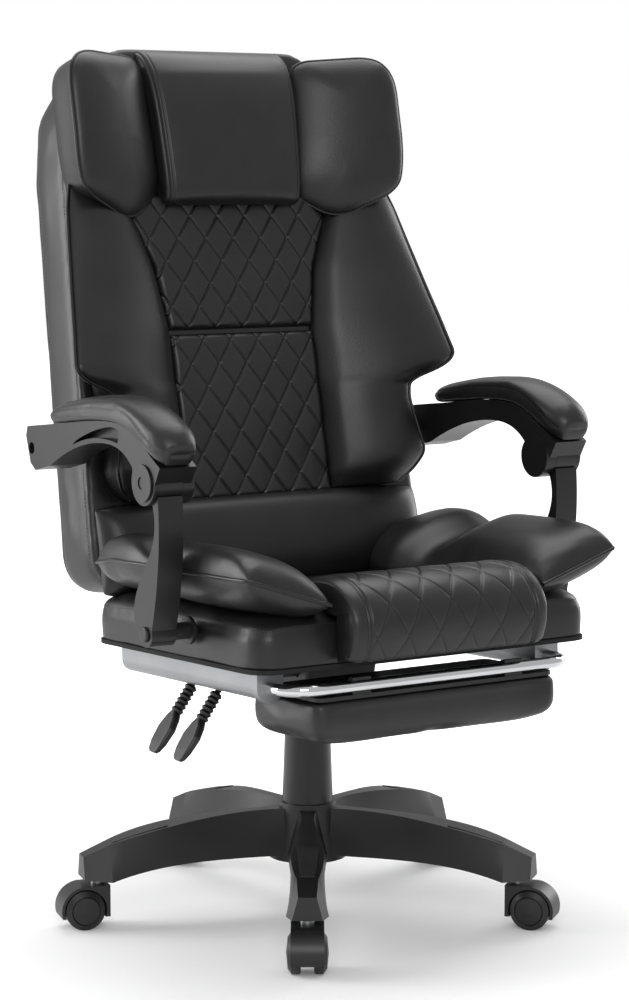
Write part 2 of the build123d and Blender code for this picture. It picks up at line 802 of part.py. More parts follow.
def hinge_plate():
    eye_y, eye_z = level(hinge_y, hinge_z)
    foot = seat_bottom - plate_sheet
    behind = seat_rear + 4
    outline = Polyline(
        (seat_rear - 90, foot), (eye_y + plate_neck, foot), (eye_y + plate_neck, eye_z - plate_neck_drop),
        (eye_y + plate_eye, eye_z - plate_eye), (eye_y + plate_eye, eye_z), (behind, eye_z),
        (behind, seat_bottom - soft_gap), (seat_rear - 90, seat_bottom - soft_gap),
        close=True,
    )
    plate = side_plate(outline, plate_x, plate_x + plate_sheet)
    flange = Pos(plate_x, seat_rear - 90, foot) * Box(
        30, 90 - board_margin, plate_sheet, align=(Align.MAX, Align.MIN, Align.MIN)
    )
    eye = cross_pin(plate_eye, plate_x, plate_x + plate_sheet, eye_y, eye_z)
    pin_end = plate_x + 2 * plate_sheet + plate_gap + side_play
    pin = cross_pin(hinge_pin_radius, plate_x, pin_end, eye_y, eye_z)
    head = cross_pin(hinge_head_radius, pin_end, pin_end + hinge_head, eye_y, eye_z)
    return tipped(plate + flange + eye + pin + head)


def arm_bracket():
    """Stub axle of the front post: root in the seat's frame, flange on its side, collar and pin."""
    pivot_y, pivot_z = level(post_foot_y, post_foot_z)
    flange = cross_pin(mount_radius, mount_face, mount_face + mount_flange, pivot_y, pivot_z)
    collar = cross_pin(foot_collar_radius, mount_face, post_inner - side_play, pivot_y, pivot_z)
    pin = cross_pin(foot_pin_radius, slab_half - mount_root, post_outer + side_play, pivot_y, pivot_z)
    return tipped(flange + collar + pin)


def upright_cap():
    outer = post_outer + side_play
    return fillet(
        cross_pin(foot_cap_radius, outer, outer + foot_cap_thickness, post_foot_y, post_foot_z)
        .faces().sort_by(Axis.X)[-1].edges(),
        foot_cap_thickness * 0.6,
    )


def footrest_rail():
    """Guide sleeve: flat on the board, round below, with a clip at its mouth."""
    outline = Rectangle(2 * rail_half, seat_bottom - bar_z, align=(Align.CENTER, Align.MIN)) + Circle(rail_half)
    lip = Circle(rail_half + rail_clip_lip) + Rectangle(
        2 * (rail_half + rail_clip_lip), seat_bottom - bar_z, align=(Align.CENTER, Align.MIN)
    )
    under = Rectangle(6 * rail_half, seat_bottom - bar_z + rail_half * 2, align=(Align.CENTER, Align.MAX))
    ceiling = Pos(0, seat_bottom - bar_z) * under
    mouth = Plane(origin=(bar_half, rail_rear, bar_z), x_dir=(1, 0, 0), z_dir=(0, -1, 0))
    clip_plane = Plane(origin=(bar_half, rail_front + rail_clip, bar_z), x_dir=(1, 0, 0), z_dir=(0, -1, 0))
    body = extrude(mouth * (outline & ceiling), rail_rear - rail_front)
    clip = extrude(clip_plane * (lip & ceiling), rail_clip)
    bore = extrude(mouth * Circle(bar_radius + running_clearance), rail_rear - rail_front + rail_clip)
    return tipped(body + clip - bore)


# Back

def outline_face(points, corner, plane):
    return plane * make_face(FilletPolyline(*points, radius=corner, close=True))


def drawn_in(points, draw):
    """An outline drawn in towards its middle by about a given distance."""
    xs = [x for x, _ in points]
    hs = [h for _, h in points]
    centre_x = (min(xs) + max(xs)) / 2
    centre_h = (min(hs) + max(hs)) / 2
    scale_x = 1 - 2 * draw / (max(xs) - min(xs))
    scale_h = 1 - 2 * draw / (max(hs) - min(hs))
    return [(centre_x + (x - centre_x) * scale_x, centre_h + (h - centre_h) * scale_h) for x, h in points]


def pad(points, corner, levels, hinge_x=0.0):
    """Soft pad on the back: each level is a depth at hinge_x, an outward slope and a draw-in."""
    sections = []
    for depth, slope, draw in levels:
        turn = radians(slope)
        plane = Plane(
            origin=(hinge_x, 0, depth), x_dir=(cos(turn), 0, sin(turn)), z_dir=(-sin(turn), 0, cos(turn))
        )
        local = [((x - hinge_x) / cos(turn), h) for x, h in drawn_in(points, draw)]
        wide = max(x for x, _ in points) - min(x for x, _ in points)
        sections.append(outline_face(local, corner * (1 - 2 * draw / wide), plane))
    return back * loft(sections, ruled=True)


def shell_outline():
    half = [
        (shell_foot_half, shell_foot),
        (shell_shoulder_half, shell_shoulder),
        (shell_shoulder_half - 0.3 * shell_round, (shell_shoulder + shell_top) / 2),
        (shell_shoulder_half - shell_round, shell_top - shell_crown_drop),
        (shell_top_half, shell_top),
    ]
    return half + [(-x, h) for x, h in reversed(half)]


def back_shell():
    levels = [
        (-shell_depth, 0, 34),
        (-shell_depth + 5, 0, 18),
        (-shell_depth + 14, 0, 8),
        (-shell_depth + 24, 0, 2.5),
        (-shell_depth + 38, 0, 0),
        (shell_face - 20, 0, 0),
        (shell_face - 6, 0, 1.5),
        (shell_face, 0, 5),
    ]
    body = pad(shell_outline(), shell_corner, levels)
    hinge_h, hinge_n = on_back(hinge_y, hinge_z)
    width = 2 * plate_sheet + plate_gap + hinge_head + 2 * pocket_side
    hollow = Pos(plate_x - pocket_side, hinge_h + pocket_rise, hinge_n) * Box(
        width, 4 * pocket_rise, 2 * pocket_half, align=(Align.MIN, Align.MAX, Align.CENTER)
    )
    body = body - back * hollow - back * other_side(hollow)
    root = cross_pin(rear_pin_radius, rear_pin_start(), lug_outer, arm_rear_y, arm_rear_z)
    return body - root - other_side(root)


def shell_side():
    """Half width of the shell's straight side at the arm's rear pivot."""
    height, _ = on_back(arm_rear_y, arm_rear_z)
    share = (height - shell_foot) / (shell_shoulder - shell_foot)
    return shell_foot_half + (shell_shoulder_half - shell_foot_half) * share


def rear_pin_start():
    return shell_side() - rear_pin_root


def arm_rear_pin():
    side = shell_side() + soft_gap + 1
    pin = cross_pin(rear_pin_radius, rear_pin_start(), lug_outer - cap_thickness * 2, arm_rear_y, arm_rear_z)
    collar = cross_pin(rear_collar_radius, side, arm_inner - side_play, arm_rear_y, arm_rear_z)
    return pin + collar


def back_plate():
    hinge_h, hinge_n = on_back(hinge_y, hinge_z)
    inner = plate_x + plate_sheet + plate_gap
    ceiling = hinge_h + pocket_rise
    eye = Pos(inner, hinge_h, hinge_n) * Rot(0, 90, 0) * Cylinder(plate_eye, plate_sheet, align=standing)
    web = Pos(inner, hinge_h, hinge_n) * Box(
        plate_sheet, pocket_rise, 2 * plate_eye, align=(Align.MIN, Align.MIN, Align.CENTER)
    )
    flange = Pos(plate_x - pocket_side / 2, ceiling - pocket_flange, hinge_n) * Box(
        2 * plate_sheet + plate_gap + pocket_side, pocket_flange, 2 * pocket_half - 4,
        align=(Align.MIN, Align.MIN, Align.CENTER),
    )
    hole = Pos(inner - 1, hinge_h, hinge_n) * Rot(0, 90, 0) * Cylinder(
        hinge_pin_radius + running_clearance, plate_sheet + 2, align=standing
    )
    return back * (eye + web + flange - hole)


def between(rows, at):
    """Value at a place, on straight lines between rows of (place, value)."""
    upto = next(i for i in range(1, len(rows)) if at <= rows[i][0] or i == len(rows) - 1)
    (start, first), (end, last) = rows[upto - 1], rows[upto]
    return first + (last - first) * (at - start) / (end - start)


def head_roll_half(height):
    return between([(head_roll_foot, head_roll_foot_half), (head_roll_top, head_roll_top_half)], height)


def head_roll():
    half = [(head_roll_foot_half, head_roll_foot), (head_roll_top_half, head_roll_top)]
    outline = half + [(-x, h) for x, h in reversed(half)]
    rest = shell_face + soft_gap
    levels = [
        (rest, 0, 6),
        (rest + 6, 0, 2),
        (rest + 16, 0, 0),
        (head_roll_crown - 36, 0, 0),
        (head_roll_crown - 22, 0, 5),
        (head_roll_crown - 11, 0, 14),
        (head_roll_crown - 4, 0, 28),
        (head_roll_crown, 0, 46),
    ]
    return pad(outline, head_roll_corner, levels)


def wing_outline():
    low = wing_point + 50
    high = wing_top - 4
    return [
        (head_roll_half(low) + wing_gap, low), (quilt_top_half + 20, wing_point), (wing_outer - 30, wing_point + 24),
        (wing_outer, wing_point + 60), (wing_outer, wing_top - 26), (wing_outer - 28, wing_top),
        (head_roll_half(high) + wing_gap, high),
    ]


def head_wing():
    rest = shell_face + soft_gap
    inner = wing_outline()[0][0]
    face = wing_face - (wing_outer - inner) * tan(radians(wing_slope))
    levels = [
        (rest, 0, 10),
        (rest + 5, wing_slope * 0.3, 3),
        (face - 15, wing_slope, 0),
        (face - 7, wing_slope, 3),
        (face + 1, wing_slope, 11),
        (face + 6, wing_slope, 24),
        (face + 8, wing_slope, 38),
    ]
    return pad(wing_outline(), wing_corner, levels, inner)


def bolster_edges(height):
    """Inner and outer half width of a side bolster, and how far its outer edge stands forward."""
    foot = bolster_foot
    tip = bolster_tip_height
    inner = between(
        [
            (foot, quilt_foot_half + bolster_gap + 6), (foot + 14, quilt_foot_half + bolster_gap + 1),
            (quilt_crease, quilt_foot_half + bolster_gap), (quilt_mid, quilt_mid_half + bolster_gap + 2),
            (bolster_top - 24, quilt_top_half + 20), (bolster_top, quilt_top_half + 66),
        ],
        height,
    )
    outer = between(
        [
            (foot, bolster_lobe - 32), (foot + 12, bolster_lobe - 14), (foot + 38, bolster_lobe),
            (tip - 54, bolster_notch), (tip - 26, bolster_notch + 6), (tip - 14, bolster_tip - 16),
            (tip, bolster_tip), (bolster_top, bolster_top_half),
        ],
        height,
    )
    slope = between([(foot, 0.4), (foot + 38, 1), (tip, 1), (bolster_top, bolster_top_share)], height)
    reach = bolster_tip - quilt_foot_half - bolster_gap
    return inner, outer, bolster_face * slope * (outer - inner) / reach


def side_bolster():
    """Sections across the back: a crowned face from the panel out to the piped edge, and its side."""
    rest = shell_face + soft_gap
    tip = bolster_tip_height
    heights = [bolster_foot + step for step in (0, 5, 12, 22, 38, 80)]
    heights += [tip + step for step in (-54, -26, -20, -14, -6, 0, 12)]
    heights += [quilt_crease, (quilt_crease + quilt_mid) / 2, quilt_mid, (quilt_mid + bolster_top) / 2]
    heights += [bolster_top - step for step in (24, 10, 0)]
    sections = []
    for height in heights:
        inner, outer, edge = bolster_edges(height)
        share = min(1, (bolster_top - height) / 60 + 0.15, (height - bolster_foot) / 40 + 0.25)
        near = rest + (bolster_gap - rest) * share
        middle = (near + edge) / 2 + bolster_crown * share
        seat = min(bolster_seat, outer - 8)
        curve = Curve() + [
            Line((inner + 3, rest), (inner, near)),
            ThreePointArc((inner, near), ((inner + outer) / 2, middle), (outer, edge)),
            Line((outer, edge), (seat, rest)),
            Line((seat, rest), (inner + 3, rest)),
        ]
        plane = Plane(origin=(0, height, 0), x_dir=(1, 0, 0), z_dir=(0, -1, 0))
        sections.append(plane * make_face(curve))
    return back * loft(sections, ruled=True)


def quilted(points, foot, top):
    """Flat panel with crossing V grooves that leave the diamonds."""
    rest = shell_face + soft_gap
    levels = [(rest, 0, 0), (-quilt_groove * 2, 0, 0), (0, 0, 5)]
    body = pad(points, 8, levels)
    run = hypot(quilt_pitch_x, quilt_pitch_h)
    cutters = []
    reach = int((top - foot) / quilt_pitch_h) + 4
    for step in range(-reach, reach + 1):
        for side in (-1, 1):
            groove = Plane(
                origin=(step * quilt_pitch_x, foot, 0),
                x_dir=(quilt_pitch_h / run, -side * quilt_pitch_x / run, 0),
                z_dir=(side * quilt_pitch_x / run, quilt_pitch_h / run, 0),
            )
            notch = Polyline((-quilt_groove_half, 0.1), (quilt_groove_half, 0.1), (0, -quilt_groove), close=True)
            cutters.append(back * extrude(groove * make_face(notch), 2 * (top - foot), both=True))
    return body - cutters


def quilt_pad_upper():
    half = [
        (quilt_foot_half, quilt_crease + panel_split), (quilt_mid_half, quilt_mid), (quilt_top_half, quilt_top),
    ]
    return quilted(half + [(-x, h) for x, h in reversed(half)], quilt_crease, quilt_top)


def quilt_pad_lower():
    half = [(quilt_foot_half, 0), (quilt_foot_half, quilt_crease - panel_split)]
    return quilted(half + [(-x, h) for x, h in reversed(half)], 0, quilt_crease)


def lumbar_roll():
    rest = shell_face + soft_gap
    sections = []
    right = [(-1, 0.35), (-0.97, 0.5), (-0.9, 0.68), (-0.75, 0.86), (-0.5, 0.97), (-0.25, 1)]
    for share, swell in right + [(-share, swell) for share, swell in reversed(right)]:
        inset = (1 - swell) * 8
        foot = lumbar_foot + inset
        top = lumbar_top - inset
        bulge = rest + (lumbar_bulge - rest) * swell
        plane = Plane(origin=(share * lumbar_half, 0, 0), x_dir=(0, 0, 1), z_dir=(-1, 0, 0))
        curve = Curve() + [
            ThreePointArc((rest, foot), (bulge, (foot + top) / 2), (rest, top)),
            Line((rest, top), (rest, foot)),
        ]
        sections.append(plane * make_face(curve))
    return back * loft(sections, ruled=True)


# Arms

def upright():
    head = Vector(post_head_y, post_head_z)
    foot = Vector(post_foot_y, post_foot_z)
    rear = [head + Vector(-13, -26), head + Vector(0, -100), foot + Vector(27, 38), foot + Vector(18, -6)]
    front = [foot + Vector(-10, -14), foot + Vector(-16, 6), head + Vector(-28, -90), head + Vector(-27, -16)]
    rear_edge = Spline(*[(p.X, p.Y) for p in rear])
    front_edge = Spline(*[(p.X, p.Y) for p in front])
    outline = Curve() + [
        rear_edge,
        Line(rear_edge @ 1, front_edge @ 0),
        front_edge,
        Line(front_edge @ 1, rear_edge @ 0),
    ]
    blade = side_plate(outline, post_inner, post_outer)
    barrel = cross_pin(barrel_radius, post_inner, post_outer, post_head_y, post_head_z)
    toe = cross_pin(post_foot_radius, post_inner, post_outer, post_foot_y, post_foot_z)
    head_bore = cross_pin(
        arm_pin_radius + running_clearance, post_inner - 1, post_outer + 1, post_head_y, post_head_z
    )
    foot_bore = cross_pin(
        foot_pin_radius + running_clearance, post_inner - 1, post_outer + 1, post_foot_y, post_foot_z
    )
    return blade + barrel + toe - head_bore - foot_bore


def arm_seat_line():
    """Line of the arm's top that the pad lies on, in (y, z), from the rear to the front."""
    return Spline(
        (arm_rear_y - 60, arm_rear_z + 37),
        (arm_rear_y - 128, arm_rear_z + 45),
        (arm_rear_y - 200, arm_rear_z + 51),
        (post_head_y + 40, post_head_z + 66),
        (post_head_y - 8, post_head_z + 42),
        (post_head_y - 42, post_head_z + 22),
    )


def arm_arch(rise):
    """Underside of the bowed arm, or the lower edge of its groove when raised."""
    return [
        (arm_rear_y - 50, arm_rear_z - 20 + rise),
        (arm_rear_y - 117, arm_rear_z + 8 + rise),
        (arm_rear_y - 190, arm_rear_z + 22 + rise),
        (post_head_y + 66, post_head_z + 39 + rise),
        (post_head_y + 27, post_head_z + 17 + rise),
    ]


def arm_frame():
    top = arm_seat_line()
    under = Spline(*arm_arch(0))
    block = Polyline(
        top @ 0, (arm_rear_y + 12, arm_rear_z + 29), (arm_rear_y + 16, arm_rear_z + 16),
        (arm_rear_y + 4, arm_rear_z - 20), (arm_rear_y - 10, arm_rear_z - 29), under @ 0,
    )
    nose = Polyline(
        under @ 1, (post_head_y + 27, post_head_z), (post_head_y - barrel_radius, post_head_z), top @ 1
    )
    body = side_plate(Curve() + [top, block, under, nose], arm_inner, lug_outer)
    for x_from, x_to in ((lug_inner, post_inner - side_play), (post_outer + side_play, lug_outer)):
        body = body + cross_pin(barrel_radius, x_from, x_to, post_head_y, post_head_z)
    body = body - cross_pin(
        barrel_radius + 1, post_inner - side_play, post_outer + side_play, post_head_y, post_head_z
    )
    low = arm_arch(6)[1:4]
    high = [low[0], (low[1][0] + 22, low[1][1] + 7), (low[2][0] - 4, low[2][1] + 8), low[2]]
    slot = Curve() + [Spline(*low), Spline(*high)]
    body = body - side_plate(slot, lug_outer - groove_depth, lug_outer + 1)
    eye = cross_pin(rear_pin_radius + pivot_play, lug_inner, lug_outer + 1, arm_rear_y, arm_rear_z)
    recess = cross_pin(rear_pin_radius + 1, lug_outer - 2 * cap_thickness, lug_outer + 1, arm_rear_y, arm_rear_z)
    pin_hole = cross_pin(arm_pin_radius, lug_inner, lug_outer + 1, post_head_y, post_head_z)
    return body - eye - recess - pin_hole


def arm_pivot():
    pin = cross_pin(arm_pin_radius, lug_inner, lug_outer + 0.5 * cap_thickness, post_head_y, post_head_z)
    cap = cross_pin(cap_radius, lug_outer, lug_outer + cap_thickness, post_head_y, post_head_z)
    dimple = cross_pin(
        cap_dimple, lug_outer + 0.5 * cap_thickness, lug_outer + 2 * cap_thickness, post_head_y, post_head_z
    )
    return pin + cap - dimple


def arm_pad():
    """Padded cap: D-shaped sections square to the arm's top line."""
    line = arm_seat_line()
    stations = [
        (0, 0.84, 0.68), (0.06, 0.96, 0.86), (0.3, 1, 0.97), (0.5, 1, 1), (0.68, 1, 1.12),
        (0.82, 0.99, 1.32), (0.93, 0.9, 1.38), (1, 0.62, 1.0),
    ]
    sections = []
    for step in range(pad_sections + 1):
        share = step / pad_sections
        upto = next(i for i in range(1, len(stations)) if share <= stations[i][0])
        before, after = stations[upto - 1], stations[upto]
        part = (share - before[0]) / (after[0] - before[0])
        wide = before[1] + (after[1] - before[1]) * part
        high = before[2] + (after[2] - before[2]) * part
        at = line @ share
        along = line % share
        half = pad_half * wide
        height = pad_height * high
        plane = Plane(
            origin=(pad_centre, at.X, at.Y), x_dir=(1, 0, 0), z_dir=(0, along.X, along.Y)
        )
        up = 1 if plane.y_dir.Z > 0 else -1
        rest = 2 * soft_gap
        curve = Curve() + [
            Line((-half * 0.82, up * rest), (half * 0.82, up * rest)),
            ThreePointArc((half * 0.82, up * rest), (half, up * height * 0.34), (half * 0.88, up * height * 0.7)),
            ThreePointArc((half * 0.88, up * height * 0.7), (0, up * height), (-half * 0.88, up * height * 0.7)),
            ThreePointArc((-half * 0.88, up * height * 0.7), (-half, up * height * 0.34), (-half * 0.82, up * rest)),
        ]
        sections.append(plane * make_face(curve))
    return loft(sections, ruled=True)


# Footrest

def footrest_tube():
    path = FilletPolyline(
        (-bar_half, bar_rear, bar_z), (-bar_half, bar_y, bar_z), (bar_half, bar_y, bar_z), (bar_half, bar_rear, bar_z),
        radius=bar_bend,
    )
    start = Plane(origin=(-bar_half, bar_rear, bar_z), z_dir=(0, -1, 0))
    return tipped(sweep(start * (Circle(bar_radius) - Circle(bar_radius - bar_wall)), path=path))


def pan_top():
    return bar_z - clamp_radius + clamp_sink


def footrest_pan():
    """Sheet pan with two rolled hooks, open in front, that turn on the front bar."""
    plate = Pos(0, (pan_front + pan_rear) / 2, pan_top() - pan_sheet) * extrude(
        RectangleRounded(2 * pan_half, pan_rear - pan_front, 12), pan_sheet
    )
    for side in (-1, 1):
        start = side * clamp_x - clamp_width / 2
        eye = cross_pin(clamp_radius, start, start + clamp_width, bar_y, bar_z)
        foot = Pos(side * clamp_x, bar_y + clamp_radius, pan_top() - pan_sheet / 2) * Box(
            clamp_width, 2 * clamp_radius, clamp_radius, align=(Align.CENTER, Align.CENTER, Align.MIN)
        )
        hole = cross_pin(bar_radius + running_clearance, start - 1, start + clamp_width + 1, bar_y, bar_z)
        front = Pos(side * clamp_x, bar_y - clamp_open, bar_z) * Box(
            2 * clamp_width, 4 * clamp_radius, 4 * clamp_radius, align=(Align.CENTER, Align.MAX, Align.CENTER)
        )
        plate = plate + (eye - front + foot) - hole
    return tipped(plate)


def footrest_cushion():
    top = pan_top() - pan_sheet
    levels = [
        (0, 5), (-5, 1), (-0.3 * cushion_thickness, 0), (-0.6 * cushion_thickness, 0),
        (-0.78 * cushion_thickness, 0.1 * cushion_crown), (-0.93 * cushion_thickness, 0.45 * cushion_crown),
        (-cushion_thickness, cushion_crown),
    ]
    cushion = rounded_levels(2 * cushion_half, cushion_rear - cushion_front, cushion_corner, levels)
    return tipped(Pos(0, (cushion_front + cushion_rear) / 2, top) * cushion)


# Every piece, by the name of its node

def pieces():
    made = {
        "star_base": star_base(),
        "leg_inlays": leg_inlays(),
        "lift_outer_tube": lift_outer_tube(),
        "guide_bush": guide_bush(),
        "column_cover_lower": column_cover_lower(),
        "thrust_bearing": thrust_bearing(),
        "piston_rod": piston_rod(),
        "gas_cylinder": gas_cylinder(),
        "column_cover_upper": column_cover_upper(),
        "mechanism": mechanism(),
        "seat_board": seat_board(),
        "seat_slab": seat_slab(),
        "seat_front_roll": seat_front_roll(),
        "arm_brackets": both_sides(arm_bracket()),
        "upright_caps": both_sides(upright_cap()),
        "hinge_plates": both_sides(hinge_plate()),
        "footrest_rails": both_sides(footrest_rail()),
        "height_lever_rod": lever_rod(height_lever_y),
        "height_lever_grip": lever_grip(height_lever_y),
        "recline_lever_rod": lever_rod(recline_lever_y),
        "recline_lever_grip": lever_grip(recline_lever_y),
        "back_shell": back_shell(),
        "back_plates": both_sides(back_plate()),
        "arm_rear_pins": both_sides(arm_rear_pin()),
        "head_roll": head_roll(),
        "quilt_pad_upper": quilt_pad_upper(),
        "quilt_pad_lower": quilt_pad_lower(),
        "lumbar_roll": lumbar_roll(),
        "footrest_tube": footrest_tube(),
        "footrest_pan": footrest_pan(),
        "footrest_cushion": footrest_cushion(),
    }
    pairs = {
        "seat_pillow": seat_pillow(),
        "head_wing": head_wing(),
        "side_bolster": side_bolster(),
        "upright": upright(),
        "arm_frame": arm_frame(),
        "arm_pad": arm_pad(),
        "arm_pivot": arm_pivot(),
    }
    for name, left in pairs.items():
        made[name + "_left"] = left
        made[name + "_right"] = other_side(left)
    hood = caster_hood()
    stem = caster_stem()
    wheels = caster_wheels()
    for index in range(leg_count):
        for name, shape in (("caster_hood", hood), ("caster_stem", stem), ("caster_wheels", wheels)):
            made[f"{name}_{index + 1}"] = turned(Pos(stem_pitch, 0, 0) * shape, index)
    return made


os.makedirs("parts", exist_ok=True)
for name, shape in pieces().items():
    export_step(shape, f"parts/{name}.step")
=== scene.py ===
import bpy
import bmesh
import math
from mathutils import Matrix, Vector
from mathutils.bvhtree import BVHTree
from mathutils.kdtree import KDTree


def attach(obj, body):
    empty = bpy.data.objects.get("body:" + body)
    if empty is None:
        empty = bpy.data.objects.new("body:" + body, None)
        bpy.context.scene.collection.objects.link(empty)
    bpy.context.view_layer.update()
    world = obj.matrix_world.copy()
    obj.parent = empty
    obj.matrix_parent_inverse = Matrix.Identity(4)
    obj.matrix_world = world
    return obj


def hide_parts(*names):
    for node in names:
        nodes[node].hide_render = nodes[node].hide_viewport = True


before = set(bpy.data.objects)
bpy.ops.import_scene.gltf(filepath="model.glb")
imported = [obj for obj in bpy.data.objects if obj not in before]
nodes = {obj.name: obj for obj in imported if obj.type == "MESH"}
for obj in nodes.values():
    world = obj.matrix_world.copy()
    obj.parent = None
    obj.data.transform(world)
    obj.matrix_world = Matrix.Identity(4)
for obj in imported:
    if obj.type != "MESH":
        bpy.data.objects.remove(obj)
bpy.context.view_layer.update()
scene = bpy.context.scene
mm = 0.001
perMetre = 1000
print("frame loaded:", len(nodes), "nodes")

# the two working planes of the solids, in mm and degrees
backPlane = {"y": 115, "z": 568, "lean": 12}    # foot of the quilted panel
seatPlane = {"y": -300, "z": 397, "tilt": 2}    # front lower edge that the seat tips about


def onBack(x, h, n):
    lean = math.radians(backPlane["lean"])
    y = backPlane["y"] + h * math.sin(lean) - n * math.cos(lean)
    z = backPlane["z"] + h * math.cos(lean) + n * math.sin(lean)
    return Vector((x, y, z)) * mm


def onSeat(x, y, z):
    tilt = math.radians(seatPlane["tilt"])
    dy = y - seatPlane["y"]
    dz = z - seatPlane["z"]
    ty = seatPlane["y"] + dy * math.cos(tilt) + dz * math.sin(tilt)
    tz = seatPlane["z"] - dy * math.sin(tilt) + dz * math.cos(tilt)
    return Vector((x, ty, tz)) * mm


# materials

def hexLinear(code):
    parts = [int(code[i:i + 2], 16) / 255 for i in (1, 3, 5)]
    linear = [c / 12.92 if c <= 0.04045 else ((c + 0.055) / 1.055) ** 2.4 for c in parts]
    return (*linear, 1.0)


def addNode(tree, kind, links=(), **settings):
    node = tree.nodes.new(kind)
    for key, value in settings.items():
        if key.startswith("in_"):
            node.inputs[key[3:].replace("_", " ")].default_value = value
        else:
            setattr(node, key, value)
    for source, target in links:
        tree.links.new(source, node.inputs[target])
    return node


def newMaterial(name):
    mat = bpy.data.materials.new(name)
    mat.use_nodes = True
    tree = mat.node_tree
    return mat, tree, tree.nodes["Principled BSDF"]


def twoTones(tree, factor, low, high):
    ramp = addNode(tree, "ShaderNodeValToRGB", [(factor, "Fac")])
    for stop, position, tone in zip(ramp.color_ramp.elements, (0.32, 0.68), (low, high)):
        stop.position = position
        stop.color = hexLinear(tone)
    return ramp.outputs["Color"]


def grained(name, look):
    mat, tree, shader = newMaterial(name)
    place = addNode(tree, "ShaderNodeTexCoord").outputs["Object"]
    cloudScale = perMetre / look["cloudMm"]
    grainScale = perMetre / look["grainMm"]
    cloud = addNode(tree, "ShaderNodeTexNoise", [(place, "Vector")], in_Scale=cloudScale, in_Detail=3.0)
    tone = twoTones(tree, cloud.outputs["Fac"], look["low"], look["high"])
    # places marked in the crease attribute are painted darker: painted shade in the grooves and seams
    if "crease" in look:
        mark = addNode(tree, "ShaderNodeAttribute", attribute_name="crease")
        grooveShade = addNode(tree, "ShaderNodeMix", [(mark.outputs["Fac"], 0), (tone, 6)], data_type="RGBA")
        grooveShade.inputs[7].default_value = hexLinear(look["crease"])  # colour sockets of this node: 6 and 7 in, 2 out
        tone = grooveShade.outputs[2]
    tree.links.new(tone, shader.inputs["Base Color"])
    rough = addNode(tree, "ShaderNodeMapRange", [(cloud.outputs["Fac"], "Value")])
    rough.inputs["To Min"].default_value = look["rough"] - look["roughSwing"]
    rough.inputs["To Max"].default_value = look["rough"] + look["roughSwing"]
    tree.links.new(rough.outputs["Result"], shader.inputs["Roughness"])
    if look["cells"]:
        grain = addNode(tree, "ShaderNodeTexVoronoi", [(place, "Vector")], in_Scale=grainScale)
        height = grain.outputs["Distance"]
    else:
        grain = addNode(tree, "ShaderNodeTexNoise", [(place, "Vector")], in_Scale=grainScale, in_Detail=2.0)
        height = grain.outputs["Fac"]
    deep = look["bumpMm"] * mm
    bump = addNode(tree, "ShaderNodeBump", [(height, "Height")], in_Strength=look["bump"], in_Distance=deep)
    tree.links.new(bump.outputs["Normal"], shader.inputs["Normal"])
    shader.inputs["Metallic"].default_value = look.get("metallic", 0.0)
    if "ior" in look:
        shader.inputs["IOR"].default_value = look["ior"]
    return mat


# polyurethane leather, embossed: broad soft highlights broken by a pebbled grain
# (the real grain is about 1 mm, drawn at 2.2 mm so that it shows); the quilted grooves are painted darker, painted
# shade
leather = grained("polyurethaneLeather", {
    "low": "#161617", "high": "#1d1d1e", "cloudMm": 60, "rough": 0.38, "roughSwing": 0.04, "ior": 1.5,
    "cells": True, "grainMm": 2.2, "bump": 0.16, "bumpMm": 0.5, "crease": "#09090a"})
# the same hide rolled tight over a cord: smoother, so its highlight is a thin line
# its colour is set darker than the hide's: painted shade along the piping
pipingLeather = grained("pipingLeather", {
    "low": "#0f0f10", "high": "#151516", "cloudMm": 30, "rough": 0.34, "roughSwing": 0.04, "ior": 1.5,
    "cells": True, "grainMm": 1.6, "bump": 0.1, "bumpMm": 0.3})
# glass-filled nylon from a spark-eroded mould: even satin black with a fine grit
nylon = grained("mouldedNylon", {
    "low": "#121213", "high": "#181819", "cloudMm": 80, "rough": 0.4, "roughSwing": 0.04, "ior": 1.53,
    "cells": False, "grainMm": 0.9, "bump": 0.08, "bumpMm": 0.2})
# polypropylene arm mouldings: a little shinier than the base, almost no texture
polypropylene = grained("mouldedPolypropylene", {
    "low": "#161617", "high": "#1c1c1d", "cloudMm": 70, "rough": 0.34, "roughSwing": 0.03, "ior": 1.49,
    "cells": False, "grainMm": 1.2, "bump": 0.05, "bumpMm": 0.15})
# ABS plates with a wrinkled texture, a shade greyer than the legs they sit in
absPlate = grained("texturedAbs", {
    "low": "#1b1b1c", "high": "#262627", "cloudMm": 6, "rough": 0.46, "roughSwing": 0.08, "ior": 1.52,
    "cells": True, "grainMm": 1.8, "bump": 0.4, "bumpMm": 0.5})
# powder-coated steel: dull black with orange peel
powderCoat = grained("powderCoatedSteel", {
    "low": "#161616", "high": "#1c1c1c", "cloudMm": 90, "rough": 0.5, "roughSwing": 0.05, "ior": 1.5,
    "cells": False, "grainMm": 1.6, "bump": 0.12, "bumpMm": 0.25})
# non-woven dust cover under the seat: matt black felted fibres
nonWoven = grained("nonWovenPolypropylene", {
    "low": "#0f0f0f", "high": "#191919", "cloudMm": 5, "rough": 0.85, "roughSwing": 0.05, "ior": 1.49,
    "cells": True, "grainMm": 1.5, "bump": 0.3, "bumpMm": 0.3})
# zinc-plated rails and bolts: dull grey metal with a soft bloom
zincPlate = grained("zincPlatedSteel", {
    "low": "#96979a", "high": "#9fa0a2", "cloudMm": 90, "rough": 0.42, "roughSwing": 0.03, "metallic": 1.0,
    "cells": False, "grainMm": 2.5, "bump": 0.02, "bumpMm": 0.1})
# ground steel of rods and stems: bright, with faint machining marks
groundSteel = grained("groundSteel", {
    "low": "#a9aaac", "high": "#bcbdbf", "cloudMm": 15, "rough": 0.26, "roughSwing": 0.05, "metallic": 1.0,
    "cells": False, "grainMm": 0.7, "bump": 0.03, "bumpMm": 0.05})
